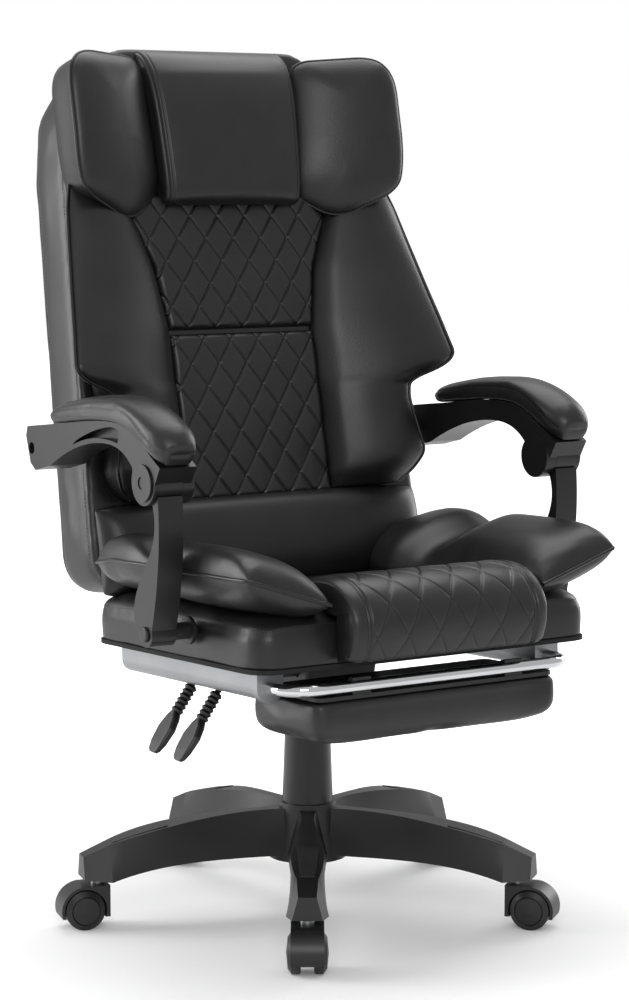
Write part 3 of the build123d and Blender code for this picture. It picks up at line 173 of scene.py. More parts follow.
# chromium plate on tube: a mirror with the slightest waviness
chrome = grained("chromiumPlate", {
    "low": "#d6d7d9", "high": "#e2e3e4", "cloudMm": 120, "rough": 0.08, "roughSwing": 0.02, "metallic": 1.0,
    "cells": False, "grainMm": 40, "bump": 0.02, "bumpMm": 0.4})
# birch plywood, unpainted, under the seat
plywood = grained("birchPlywood", {
    "low": "#9c7a4f", "high": "#c3a074", "cloudMm": 14, "rough": 0.62, "roughSwing": 0.06, "ior": 1.5,
    "cells": False, "grainMm": 3, "bump": 0.1, "bumpMm": 0.2})
# acetal of the guide bush: waxy off-white
acetal = grained("acetal", {
    "low": "#b9b7b0", "high": "#c6c4bd", "cloudMm": 40, "rough": 0.4, "roughSwing": 0.03, "ior": 1.48,
    "cells": False, "grainMm": 2, "bump": 0.03, "bumpMm": 0.1})
# bonded polyester thread: dull, a shade lighter than the hide
thread = grained("polyesterThread", {
    "low": "#333334", "high": "#3e3e3f", "cloudMm": 4, "rough": 0.6, "roughSwing": 0.05, "ior": 1.5,
    "cells": False, "grainMm": 0.5, "bump": 0.2, "bumpMm": 0.15})

# finishes of the hard pieces, by the start of their names
finishes = {
    "star_base": nylon, "column_cover": polypropylene, "arm_frame": polypropylene, "upright": polypropylene,
    "upright_caps": nylon, "arm_pivot": nylon, "height_lever_grip": nylon, "recline_lever_grip": nylon,
    "caster_hood": nylon, "caster_wheels": nylon, "leg_inlays": absPlate, "mechanism": powderCoat,
    "arm_brackets": powderCoat, "hinge_plates": powderCoat, "back_plates": powderCoat, "footrest_pan": powderCoat,
    "lift_outer_tube": powderCoat, "height_lever_rod": powderCoat, "recline_lever_rod": powderCoat,
    "arm_rear_pins": powderCoat, "gas_cylinder": powderCoat, "piston_rod": groundSteel,
    "thrust_bearing": groundSteel, "caster_stem": groundSteel, "footrest_tube": chrome,
    "footrest_rails": zincPlate, "seat_board": plywood, "guide_bush": acetal,
}
for nodeName, obj in nodes.items():
    found = [key for key in finishes if nodeName.startswith(key)]
    if found:
        obj.data.materials.clear()
        obj.data.materials.append(finishes[max(found, key=len)])
print("materials assigned")


# tools for soft pieces

def link(name, mesh, mat):
    obj = bpy.data.objects.new(name, mesh)
    mesh.materials.clear()
    mesh.materials.append(mat)
    scene.collection.objects.link(obj)
    return obj


def freeze(obj):
    graph = bpy.context.evaluated_depsgraph_get()
    mesh = bpy.data.meshes.new_from_object(obj.evaluated_get(graph))
    obj.modifiers.clear()
    obj.data = mesh
    return obj


def remeshed(source, pieceName, pad):
    bm = bmesh.new()
    bm.from_mesh(source)
    bmesh.ops.remove_doubles(bm, verts=bm.verts, dist=0.05 * mm)
    bmesh.ops.recalc_face_normals(bm, faces=bm.faces)
    mesh = bpy.data.meshes.new(pieceName)
    bm.to_mesh(mesh)
    bm.free()
    obj = link(pieceName, mesh, leather)
    voxel = obj.modifiers.new("voxel", "REMESH")
    voxel.mode = "VOXEL"
    voxel.voxel_size = pad["voxel"] * mm
    return relaxed(freeze(obj), pad["relax"])


def relaxed(obj, rounds):
    # evens out the voxel steps and rounds the edges as foam does
    bm = bmesh.new()
    bm.from_mesh(obj.data)
    for _ in range(rounds):
        bmesh.ops.smooth_vert(bm, verts=bm.verts, factor=0.5, use_axis_x=True, use_axis_y=True, use_axis_z=True)
    bm.to_mesh(obj.data)
    bm.free()
    return obj


stuffing = {"quality": 4, "mass": 0.25, "bending": 2.0, "frames": 20, "holdFrom": 0.25, "holdOver": 0.4,
            "settle": 3}


def stuffed(obj, pad):
    # cloth under pressure from a slightly smaller start; the side that rests on something stays put
    mesh = obj.data
    rest = [v.co.copy() for v in mesh.vertices]
    normals = [v.normal.copy() for v in mesh.vertices]
    for v, n in zip(mesh.vertices, normals):
        v.co -= n * pad["start"] * mm
    cloth = obj.modifiers.new("stuffing", "CLOTH")
    cloth.settings.quality = stuffing["quality"]
    cloth.settings.mass = stuffing["mass"]
    cloth.settings.use_pressure = True
    cloth.settings.uniform_pressure_force = pad["pressure"]
    cloth.settings.shrink_min = -pad["slack"]
    cloth.settings.bending_stiffness = stuffing["bending"]
    cloth.settings.effector_weights.gravity = 0
    for step in range(stuffing["frames"]):
        scene.frame_set(step + 1)
    graph = bpy.context.evaluated_depsgraph_get()
    moved = [v.co.copy() for v in obj.evaluated_get(graph).data.vertices]
    obj.modifiers.clear()
    scene.frame_set(1)
    down = Vector(pad["restsOn"]).normalized()
    for v, old, n, new in zip(mesh.vertices, rest, normals, moved):
        shift = new - old
        if shift.length > pad["cap"] * mm:
            shift = shift.normalized() * pad["cap"] * mm
        held = min(1.0, max(0.0, (n.dot(down) - stuffing["holdFrom"]) / stuffing["holdOver"]))
        v.co = old + shift * (1 - held)
    return relaxed(obj, stuffing["settle"])


def sewn(obj, path, width, depth):
    # a seam or channel pressed into the surface along a path of points
    tree = KDTree(len(path))
    for i, p in enumerate(path):
        tree.insert(p, i)
    tree.balance()
    for v in obj.data.vertices:
        gap = tree.find(v.co)[2] / (width * mm)
        if gap < 1:
            v.co -= v.normal * depth * mm * (1 - gap * gap) ** 2
    obj.data.update()


def finishSoft(obj, body, nodeName, levels=1):
    for poly in obj.data.polygons:
        poly.use_smooth = True
    if levels:
        sub = obj.modifiers.new("smooth", "SUBSURF")
        sub.levels = levels
        sub.render_levels = levels
    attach(obj, body)
    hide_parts(nodeName)


def densePath(points, step=3.0, closed=False):
    # points in metres, filled in to a spacing in mm
    out = []
    count = len(points) if closed else len(points) - 1
    for i in range(count):
        a = points[i]
        b = points[(i + 1) % len(points)]
        parts = max(1, int((b - a).length / (step * mm)))
        out += [a.lerp(b, k / parts) for k in range(parts)]
    if not closed:
        out.append(points[-1])
    return out


def surfaceOf(obj):
    return BVHTree.FromPolygons([v.co for v in obj.data.vertices], [p.vertices for p in obj.data.polygons])


def hugging(points, surface, lift):
    out = []
    for p in points:
        spot, normal, _, _ = surface.find_nearest(p)
        out.append(spot + normal * lift * mm)
    return out


def smoothed(points, rounds, closed):
    for _ in range(rounds):
        last = len(points) - 1
        new = []
        for i, p in enumerate(points):
            if not closed and i in (0, last):
                new.append(p)
            else:
                new.append((points[i - 1] + p * 2 + points[(i + 1) % len(points)]) / 4)
        points = new
    return points


def piped(name, points, radius, body, mat, closed=False):
    curve = bpy.data.curves.new(name, "CURVE")
    curve.dimensions = "3D"
    spline = curve.splines.new("POLY")
    spline.points.add(len(points) - 1)
    for spot, p in zip(spline.points, points):
        spot.co = (*p, 1.0)
    spline.use_cyclic_u = closed
    curve.bevel_depth = radius * mm
    curve.bevel_resolution = 2
    curve.use_fill_caps = True
    temp = bpy.data.objects.new(name + ".path", curve)
    scene.collection.objects.link(temp)
    graph = bpy.context.evaluated_depsgraph_get()
    mesh = bpy.data.meshes.new_from_object(temp.evaluated_get(graph))
    bpy.data.objects.remove(temp)
    obj = link(name, mesh, mat)
    for poly in mesh.polygons:
        poly.use_smooth = True
    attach(obj, body)
    return obj


def stitched(name, points, stitch, body):
    # a row of thread stitches along a path that already lies on the leather
    bm = bmesh.new()
    pitch = stitch["pitch"] * mm
    run = 0.0
    for a, b in zip(points, points[1:]):
        leg = (b - a).length
        while run < leg:
            spot = a.lerp(b, run / leg)
            turn = (b - a).to_track_quat("X", "Z").to_matrix().to_4x4()
            thick = stitch["radius"] * mm
            size = Matrix.Diagonal((stitch["length"] * mm / 2, thick, thick, 1))
            place = Matrix.Translation(spot) @ turn @ size
            bmesh.ops.create_icosphere(bm, subdivisions=1, radius=1, matrix=place)
            run += pitch
        run -= leg
    mesh = bpy.data.meshes.new(name)
    bm.to_mesh(mesh)
    bm.free()
    obj = link(name, mesh, thread)
    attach(obj, body)
    return obj


def ringSkin(name, rings, lids=True):
    # leather skin over closed rings of one count
    bm = bmesh.new()
    rows = [[bm.verts.new(p) for p in ring] for ring in rings]
    for low, high in zip(rows, rows[1:]):
        for i in range(len(low)):
            k = (i + 1) % len(low)
            bm.faces.new((low[i], low[k], high[k], high[i]))
    if lids:
        bm.faces.new(rows[0])
        bm.faces.new(rows[-1])
    bmesh.ops.remove_doubles(bm, verts=bm.verts, dist=0.02 * mm)
    bmesh.ops.recalc_face_normals(bm, faces=bm.faces)
    mesh = bpy.data.meshes.new(name)
    bm.to_mesh(mesh)
    bm.free()
    return link(name, mesh, leather)


def between(rows, at):
    if at <= rows[0][0]:
        return rows[0][1]
    for (a, low), (b, high) in zip(rows, rows[1:]):
        if at <= b:
            return low + (high - low) * (at - a) / (b - a)
    return rows[-1][1]


def eased(rows, at, reach):
    # the same line with its corners rounded off over a reach
    return sum(between(rows, at + reach * k / 4) for k in range(-4, 5)) / 9


def evenly(points, count, closed=True):
    # a line through the same places at a steady spacing
    if closed:
        points = points + points[:1]
    runs = [0.0]
    for a, b in zip(points, points[1:]):
        runs.append(runs[-1] + (b - a).length)
    out = []
    leg = 0
    for k in range(count):
        at = runs[-1] * k / (count if closed else count - 1)
        while leg < len(runs) - 2 and runs[leg + 1] < at:
            leg += 1
        share = (at - runs[leg]) / (runs[leg + 1] - runs[leg])
        out.append(points[leg].lerp(points[leg + 1], share))
    return out


def roundedLoop(points, radius, parts=6):
    # an outline with its corners rounded off
    out = []
    count = len(points)
    for i in range(count):
        p = Vector(points[i])
        a = Vector(points[i - 1]) - p
        b = Vector(points[(i + 1) % count]) - p
        start = p + a.normalized() * min(radius, a.length * 0.45)
        stop = p + b.normalized() * min(radius, b.length * 0.45)
        for k in range(parts + 1):
            t = k / parts
            out.append(start * (1 - t) ** 2 + p * 2 * t * (1 - t) + stop * t * t)
    return out


def boxCorners(half, front, rear):
    return [(half, front), (half, rear), (-half, rear), (-half, front)]


def mirrored(obj, name):
    bm = bmesh.new()
    bm.from_mesh(obj.data)
    bmesh.ops.scale(bm, vec=(-1, 1, 1), verts=bm.verts)
    bmesh.ops.reverse_faces(bm, faces=bm.faces)
    mesh = bpy.data.meshes.new(name)
    bm.to_mesh(mesh)
    bm.free()
    return link(name, mesh, obj.data.materials[0])


# cushions that swell from their solids

softPads = {
    "seat_slab": {"body": "seat_unit", "voxel": 7, "relax": 4, "start": 2, "pressure": 3, "slack": 0.01, "cap": 5,
                  "fill": 0.8, "restsOn": (0, 0, -1)},
    "footrest_cushion": {"body": "footrest_pad", "voxel": 6, "relax": 4, "start": 2, "pressure": 3,
                         "slack": 0.01, "cap": 5, "fill": 0.8, "restsOn": (0, 0, 1)},
    "back_shell": {"body": "backrest", "voxel": 7, "relax": 8, "start": 2, "pressure": 3, "slack": 0.01, "cap": 5,
                   "fill": 0.8, "restsOn": (0, -1, 0.2)},
}
armPad = {"voxel": 4, "relax": 4, "start": 1, "pressure": 4, "slack": 0.01, "cap": 4, "fill": 0.7,
          "restsOn": (0, 0, -1)}
slab = {"half": 268, "front": -300, "rear": 140, "corner": 46, "count": 240,
        "levels": [(397, 5), (402, 1.5), (411, 0), (430, 0), (444, 0), (452, 2), (458, 9), (462, 22)]}


def slabForm():
    # the seat's box without the board's recess
    rings = []
    for z, draw in slab["levels"]:
        corners = boxCorners(slab["half"] - draw, slab["front"] + draw, slab["rear"] - draw)
        flat = evenly(roundedLoop(corners, slab["corner"], 10), slab["count"])
        rings.append([onSeat(p.x, p.y, z) for p in flat])
    form = ringSkin("slab_form", rings)
    mesh = form.data
    bpy.data.objects.remove(form)
    return mesh


soft = {}
for nodeName, pad in softPads.items():
    source = slabForm() if nodeName == "seat_slab" else nodes[nodeName].data
    obj = stuffed(remeshed(source, nodeName + ".leather", pad), pad)
    soft[nodeName] = obj
    finishSoft(obj, pad["body"], nodeName)
    print("stuffed", nodeName, len(obj.data.vertices))
left = stuffed(remeshed(nodes["arm_pad_left"].data, "arm_pad_left.leather", armPad), armPad)
right = mirrored(left, "arm_pad_right.leather")
for side, obj in (("left", left), ("right", right)):
    soft["arm_pad_" + side] = obj
    finishSoft(obj, "arm_" + side, "arm_pad_" + side)
print("stuffed arm pads", len(left.data.vertices))


# quilted panels of the back

quilt = {"pitchX": 45, "pitchS": 64, "puff": 2.4, "groove": 1.9, "grooveHalf": 2.4, "base": -1.4, "rest": -11.4,
         "edge": 10, "cell": 1.15, "fill": 0.7,
         "upper": {"foot": 238, "top": 430, "half": [(239, 119), (325, 132), (430, 176)]},
         "lower": {"foot": -3, "top": 232, "half": [(-3, 119), (232, 119)]}}


def diamondForm(x, run, look):
    # height of a quilted skin above its seams' foot, and how deep in a seam the place lies
    apart = 1 / math.hypot(1 / look["pitchX"], 1 / look["pitchS"])
    half = apart / 2
    a = x / look["pitchX"] + run / look["pitchS"]
    b = x / look["pitchX"] - run / look["pitchS"]
    first = abs(a - round(a)) * apart  # mm to the nearest seam of each slope
    second = abs(b - round(b)) * apart
    swell = math.sqrt(math.sin(math.pi / 2 * first / half) * math.sin(math.pi / 2 * second / half))
    near = min(1.0, min(first, second) / look["grooveHalf"])
    sunk = (1 - near * near) ** 2
    return look["puff"] * swell - look["groove"] * sunk, sunk


def quiltPanel(nodeName, panel):
    foot = panel["foot"]
    top = panel["top"]
    bm = bmesh.new()
    wide = int(2 * between(panel["half"], top) / quilt["cell"])
    high = int((top - foot) / quilt["cell"])
    bmesh.ops.create_grid(bm, x_segments=wide, y_segments=high, size=1)
    # the crease layer holds how deep in a groove each place lies; the leather paints it darker, painted shade
    crease = bm.verts.layers.float.new("crease")
    for v in bm.verts:
        h = foot + (top - foot) * (v.co.y + 1) / 2
        half = between(panel["half"], h)
        x = v.co.x * half
        rim = min((1 - abs(v.co.x)) * half, h - foot, top - h) / quilt["edge"]
        swell = math.sqrt(max(0.0, 1 - (1 - min(1.0, rim)) ** 2))
        puff, v[crease] = diamondForm(x, h - foot, quilt)
        n = quilt["rest"] + swell * (quilt["base"] - quilt["rest"] + puff)
        v.co = onBack(x, h, n)
    rim = [e for e in bm.edges if e.is_boundary]
    bmesh.ops.contextual_create(bm, geom=rim)
    bmesh.ops.recalc_face_normals(bm, faces=bm.faces)
    mesh = bpy.data.meshes.new(nodeName + ".leather")
    bm.to_mesh(mesh)
    bm.free()
    obj = link(nodeName + ".leather", mesh, leather)
    finishSoft(obj, "backrest", nodeName, 0)
    return obj


soft["quilt_pad_upper"] = quiltPanel("quilt_pad_upper", quilt["upper"])
soft["quilt_pad_lower"] = quiltPanel("quilt_pad_lower", quilt["lower"])
print("quilted panels")


# quilted front roll of the seat: a grid wrapped round a closed profile

roll = {"half": 152, "band": 19, "draw": 8, "cell": 1.2, "parts": 30, "pitchX": 48, "pitchS": 86, "shift": 23,
        "puff": 1.0, "groove": 1.0, "grooveHalf": 2.2, "endFade": 12, "sideFade": 4, "fill": 0.7,
        "welt": 5, "weltHalf": 2.2, "weltDepth": 2.4,
        "outer": [(-166, 463.5), (-190, 484), (-222, 502), (-258, 509.5), (-295, 507), (-326, 491), (-344, 464),
                  (-345, 436), (-337, 413), (-330, 406)],
        "inner": [(-301.5, 406), (-301.5, 463), (-230, 463), (-166, 463.5)]}


def splineThrough(points, steps):
    out = []
    for i in range(len(points) - 1):
        p0 = points[max(0, i - 1)]
        p1 = points[i]
        p2 = points[i + 1]
        p3 = points[min(len(points) - 1, i + 2)]
        for k in range(steps):
            t = k / steps
            out.append(0.5 * (p1 * 2 + (p2 - p0) * t + (p0 * 2 - p1 * 5 + p2 * 4 - p3) * t * t
                              + (p1 * 3 - p0 - p2 * 3 + p3) * t ** 3))
    out.append(points[-1])
    return out


def rollSwell(x, run, whole):
    # how far the leather stands off the plain profile: rounded end, two welt seams, then diamonds
    side = abs(x)
    sunk = 0.0
    into = max(0.0, side - roll["half"] + roll["band"]) / roll["band"]
    out = -roll["draw"] * (1 - math.sqrt(max(0.0, 1 - into * into)))
    first = roll["half"] - roll["band"]
    for seam in (first, first - roll["welt"]):
        near = abs(side - seam) / roll["weltHalf"]
        if near < 1:
            out -= roll["weltDepth"] * (1 - near * near) ** 2
    inside = first - roll["welt"] - side
    if inside > 0:
        fade = min(1.0, run / roll["endFade"], (whole - run) / roll["endFade"], inside / roll["sideFade"])
        puff, sunk = diamondForm(x, run - roll["shift"], roll)
        out += fade * puff
        sunk *= fade
    return out, sunk


def frontRoll():
    outer = splineThrough([Vector(p) for p in roll["outer"]], roll["parts"])
    inner = [Vector(p) for p in roll["inner"]]
    runs = [0.0]
    for a, b in zip(outer, outer[1:]):
        runs.append(runs[-1] + (b - a).length)
    loop = outer + inner
    stations = int(2 * roll["half"] / roll["cell"])
    bm = bmesh.new()
    bmesh.ops.create_grid(bm, x_segments=stations, y_segments=len(loop) - 1, size=1)
    # the crease layer holds how deep in a groove each place lies; the leather paints it darker, painted shade
    crease = bm.verts.layers.float.new("crease")
    for v in bm.verts:
        x = v.co.x * roll["half"]
        i = round((v.co.y + 1) / 2 * (len(loop) - 1))
        p = loop[i]
        if i < len(outer):
            ahead = outer[min(i + 1, len(outer) - 1)] - outer[max(i - 1, 0)]
            swell, v[crease] = rollSwell(x, runs[i], runs[-1])
            p = p + Vector((ahead.y, -ahead.x)).normalized() * swell
        v.co = onSeat(x, p.x, p.y)
    bmesh.ops.remove_doubles(bm, verts=bm.verts, dist=0.05 * mm)
    rim = [e for e in bm.edges if e.is_boundary]
    bmesh.ops.holes_fill(bm, edges=rim, sides=0)
    bmesh.ops.recalc_face_normals(bm, faces=bm.faces)
    mesh = bpy.data.meshes.new("seat_front_roll.leather")
    bm.to_mesh(mesh)
    bm.free()
    obj = link("seat_front_roll.leather", mesh, leather)
    finishSoft(obj, "seat_unit", "seat_front_roll", 0)
    return obj


soft["seat_front_roll"] = frontRoll()
print("front roll")


# head roll: one profile swept across the back, soft edges and a twin seam at each end
head = {"foot": 412, "footHalf": 112, "top": 638, "topHalf": 122, "edge": 12, "seams": (5, 11), "seamHalf": 2.2,
        "seamDepth": 1.4, "bow": 15, "bowFrom": -12, "bowRun": 30, "bowPower": 2.4, "middle": (525, -12),
        "parts": 6, "fill": 0.7, "caps": [(-2.6, 0.3), (-2.2, 0.6), (-1.4, 0.85), (-0.6, 0.95)], "past": 999,
        "side": [(420, -11.5), (414, -6), (411, 2), (412, 10), (418, 17), (432, 22), (460, 25), (510, 26),
                 (556, 25), (588, 20), (610, 12), (625, 2), (634, -10), (638, -22), (639, -36), (634, -40)],
        "steps": [0, 0.6, 1.5, 2.8, 4, 5, 6, 7, 8, 9, 10, 11, 12, 13, 14, 17, 22, 30, 42, 58, 78, 100]}


def headRing(sign, step, spread=1.0):
    # step is the distance in from the end in mm; spread closes the end
    side = splineThrough([Vector(p) for p in head["side"]], head["parts"])
    middle = Vector(head["middle"])
    draw = head["edge"]
    if step >= 0:
        draw *= 1 - math.sqrt(1 - (1 - min(1.0, step / head["edge"])) ** 2)
    for seam in head["seams"]:
        near = abs(step - seam) / head["seamHalf"]
        draw += head["seamDepth"] * (1 - near * near) ** 2 if near < 1 else 0
    ring = []
    for i, p in enumerate(side):
        half = between([(head["foot"], head["footHalf"]), (head["top"], head["topHalf"])], p.x)
        out = 1 - min(1.0, max(0.0, step) / half)
        ahead = side[min(i + 1, len(side) - 1)] - side[max(i - 1, 0)]
        near = min(1.0, max(0.0, (p.y - head["bowFrom"]) / head["bowRun"]))
        bow = head["bow"] * near * (1 - out ** head["bowPower"])
        spot = p + Vector((ahead.y, -ahead.x)).normalized() * draw
        spot = middle.lerp(Vector((spot.x, spot.y + bow)), spread)
        ring.append(onBack(sign * max(0.0, half - step), spot.x, spot.y))
    return ring


rings = [headRing(1, step, spread) for step, spread in head["caps"]]
rings += [headRing(1, step) for step in head["steps"]]
rings += [headRing(1, head["past"])]  # past the middle, so it lies on the centre line
rings += [headRing(-1, step) for step in reversed(head["steps"])]
rings += [headRing(-1, step, spread) for step, spread in reversed(head["caps"])]
soft["head_roll"] = ringSkin("head_roll.leather", rings)
finishSoft(soft["head_roll"], "backrest", "head_roll", 0)
print("head roll")

# lumbar roll: a full bolster across the foot of the back, blunt below where it sits on the seat
lumbar = {"half": 263, "foot": -127, "top": 3, "bulge": 31, "rest": -11.5, "around": 40, "along": 60, "fill": 0.7,
          "endPower": 7, "endDraw": 0.15, "topPower": 0.8, "footPower": 0.62, "bellyPower": 0.75, "behind": 0.1}


def lumbarRing(u):
    # one section; u runs from -1 at one end to 1 at the other
    swell = max(0.0, 1 - abs(u) ** lumbar["endPower"]) ** 0.5
    middle = (lumbar["foot"] + lumbar["top"]) / 2
    tall = (lumbar["top"] - lumbar["foot"]) / 2 * (1 - lumbar["endDraw"] * (1 - swell))
    ring = []
    for k in range(lumbar["around"]):
        turn = 2 * math.pi * k / lumbar["around"]
        c = math.cos(turn)
        s = math.sin(turn)
        h = middle + tall * math.copysign(abs(c) ** lumbar["topPower" if c > 0 else "footPower"], c)
        n = lumbar["rest"] * (1 - lumbar["behind"] * s)
        if s > 0:
            n = lumbar["rest"] + (lumbar["bulge"] - lumbar["rest"]) * swell * s ** lumbar["bellyPower"]
        ring.append(onBack(u * lumbar["half"], h, n))
    return ring


rings = [lumbarRing(-math.cos(math.pi * j / lumbar["along"])) for j in range(lumbar["along"] + 1)]
soft["lumbar_roll"] = ringSkin("lumbar_roll.leather", rings)
finishSoft(soft["lumbar_roll"], "backrest", "lumbar_roll", 1)
print("lumbar roll")

# head wings: boxed pads that rise outwards, crowned, piped all round
wing = {"outline": [(106, 432), (170, 388), (258, 424), (267, 464), (267, 588), (243, 618), (124, 619)],
        "corner": 30, "spine": [(180, 466), (190, 556)], "spineFrom": 400, "spineRun": 205, "hinge": 110,
        "rise": 0.4, "drop": 12, "lift": 8, "liftFrom": 391, "liftRun": 110, "crown": 24, "crownPower": 2.2,
        "crownRise": 0.6, "rest": -11.5, "least": 3, "count": 180, "piping": 2.3, "fill": 0.7,
        "wall": [(0, 0.12), (0.12, 0.05), (0.35, 0.035), (0.6, 0.03), (0.85, 0.02), (0.95, 0.008), (1, 0)],
        "inward": [0.015, 0.04, 0.075, 0.12, 0.18, 0.25, 0.33, 0.41, 0.5, 0.59, 0.68, 0.77, 0.86, 0.94]}


def wingEdge(x, h):
    lift = wing["lift"] * min(1.0, max(0.0, (h - wing["liftFrom"]) / wing["liftRun"]))
    return max(wing["rest"] + wing["least"], wing["rise"] * (x - wing["hinge"]) - wing["drop"] + lift)


def wingPoint(p, inward):
    # towards a short spine in the wing's middle
    (ax, ah), (bx, bh) = wing["spine"]
    along = min(1.0, max(0.0, (p.y - wing["spineFrom"]) / wing["spineRun"]))
    return p.lerp(Vector((ax + (bx - ax) * along, ah + (bh - ah) * along)), inward)


loop = evenly(roundedLoop(wing["outline"], wing["corner"], 10), wing["count"])
for side, sign in (("left", 1), ("right", -1)):
    rings = []
    for share, inward in wing["wall"]:
        ring = []
        for p in loop:
            q = wingPoint(p, inward)
            ring.append(onBack(sign * q.x, q.y, wing["rest"] + (wingEdge(p.x, p.y) - wing["rest"]) * share))
        rings.append(ring)
    for inward in wing["inward"]:
        crown = wing["crown"] * (1 - (1 - inward) ** wing["crownPower"]) ** wing["crownRise"]
        face = [wingPoint(p, inward) for p in loop]
        rings.append([onBack(sign * q.x, q.y, wingEdge(q.x, q.y) + crown) for q in face])
    name = f"head_wing_{side}"
    soft[name] = ringSkin(name + ".leather", rings)
    finishSoft(soft[name], "backrest", name, 0)
    edge = [onBack(sign * p.x, p.y, wingEdge(p.x, p.y)) for p in loop]
    piped(name + ".piping", edge, wing["piping"], "backrest", pipingLeather, True)
print("head wings")

# side bolsters: sections across the back, from the panel out to the piped edge and round to the shell
bolster = {"outer": [(4, 221), (16, 239), (42, 254), (122, 239), (148, 243), (162, 292), (178, 311), (405, 269),
                     (440, 258)],
           "inner": [(4, 122), (18, 118), (235, 117), (325, 132), (381, 152), (440, 180)],
           "slope": [(4, 0.4), (42, 1), (176, 1), (405, 0.42), (440, 0.3)], "outerEase": 7, "innerEase": 12,
           "face": 67, "reach": 191, "near": 6, "crown": 17, "crownFall": 0.8, "crowd": 1.4, "roundIn": 0.16,
           "rest": -11.5, "seat": 246, "tuck": 8, "hollow": 3, "foot": 3, "footFade": (40, 0.25), "top": 440,
           "topFade": (60, 0.2), "across": 30, "sideParts": 8, "restParts": 6, "piping": 2.3, "fill": 0.7}


def bolsterSection(h):
    # half width and depth round one section, and the place of its piped edge
    outer = eased(bolster["outer"], h, bolster["outerEase"])
    inner = eased(bolster["inner"], h, bolster["innerEase"])
    rest = bolster["rest"]
    edge = bolster["face"] * eased(bolster["slope"], h, bolster["innerEase"]) * (outer - inner) / bolster["reach"]
    topRun, topShare = bolster["topFade"]
    footRun, footShare = bolster["footFade"]
    share = min(1.0, (bolster["top"] - h) / topRun + topShare, (h - bolster["foot"]) / footRun + footShare)
    share = math.sin(share * math.pi / 2)
    near = rest + (bolster["near"] - rest) * share
    section = []
    for k in range(bolster["across"] + 1):
        t = (k / bolster["across"]) ** bolster["crowd"]
        full = near + (edge - near) * t + bolster["crown"] * share * 4 * t * (1 - t) ** bolster["crownFall"]
        soften = math.sqrt(1 - (1 - min(1.0, t / bolster["roundIn"])) ** 2)
        section.append((inner + (outer - inner) * t, rest + (full - rest) * soften))
    seat = min(bolster["seat"], outer - bolster["tuck"])
    for k in range(1, bolster["sideParts"] + 1):
        t = k / bolster["sideParts"]
        hollow = bolster["hollow"] * math.sin(math.pi * t)
        section.append((outer + (seat - outer) * t - hollow, edge + (rest - edge) * t))
    for k in range(1, bolster["restParts"]):
        section.append((seat + (inner - seat) * k / bolster["restParts"], rest))
    return section, (outer, edge)


# closer sections at the foot, round the elbow notch and at the top
heights = [bolster["foot"] + k for k in (0, 2, 5, 9, 14, 20, 27, 35)] + list(range(44, 138, 8))
heights += list(range(138, 190, 2)) + list(range(190, 430, 8)) + [430, 434, 437, 440]
for side, sign in (("left", 1), ("right", -1)):
    sections = [bolsterSection(h) for h in heights]
    rings = [[onBack(sign * x, h, n) for x, n in section] for h, (section, edge) in zip(heights, sections)]
    name = f"side_bolster_{side}"
    soft[name] = ringSkin(name + ".leather", rings)
    finishSoft(soft[name], "backrest", name, 0)
    run = [onBack(sign * edge[0], h, edge[1]) for h, (section, edge) in zip(heights, sections)]
    piped(name + ".piping", smoothed(densePath(run, 3), 3, False), bolster["piping"], "backrest", pipingLeather)
print("side bolsters")

# overstuffed seat pillows: two panels sewn round their rim, drawn down across a crease
pillow = {"front": -313, "rear": 84, "crease": -66, "creaseReach": 30, "creaseDraw": 0.5, "up": 46, "down": 33,
          "inner": [(-313, 168), (-286, 162), (-214, 158), (-118, 158), (-68, 142), (-20, 114), (33, 124),
                    (60, 150), (84, 214)],
          "outer": [(-313, 288), (-290, 292), (-118, 293), (-66, 288), (-20, 292), (50, 291), (84, 280)],
          "innerSeam": [(-313, 479), (-200, 477), (33, 477), (84, 497)],
          "outerSeam": [(-313, 519), (20, 519), (84, 510)], "innerEase": 16, "outerEase": 10,
          "innerPower": 2.6, "outerPower": 4.2, "frontPower": 6, "rearPower": 9,
          "pucker": 3.6, "sideFall": 7, "frontFall": 9, "around": 26, "along": 64, "piping": 2.6, "fill": 0.6}


def pillowPoint(u, v, way):
    # u runs across, v along, each from -1 to 1; way is up or down from the seam
    y = pillow["front"] + (pillow["rear"] - pillow["front"]) * (v + 1) / 2
    inner = eased(pillow["inner"], y, pillow["innerEase"])
    outer = eased(pillow["outer"], y, pillow["outerEase"])
    x = inner + (outer - inner) * (u + 1) / 2
    seam = between(pillow["innerSeam"], y)
    seam += (between(pillow["outerSeam"], y) - seam) * (u + 1) / 2
    full = max(0.0, 1 - abs(u) ** pillow["outerPower" if u > 0 else "innerPower"]) ** 0.5
    full *= max(0.0, 1 - abs(v) ** pillow["rearPower" if v > 0 else "frontPower"]) ** 0.5
    drawn = math.exp(-((y - pillow["crease"]) / pillow["creaseReach"]) ** 2)
    rise = pillow["up"] * (1 - pillow["creaseDraw"] * drawn) if way > 0 else -pillow["down"]
    rim = min(1.0, math.exp(-(1 - abs(u)) * pillow["sideFall"]) + math.exp(-(1 + v) * pillow["frontFall"]))
    wave = math.sin(y * 0.21 + 1.3 * math.sin(y * 0.043)) * math.sin(y * 0.087 + x * 0.11 + 0.6)  # uneven gathers
    gather = pillow["pucker"] * way * wave * rim * (1 - full)
    return onSeat(x, y, seam + full * (rise + gather))


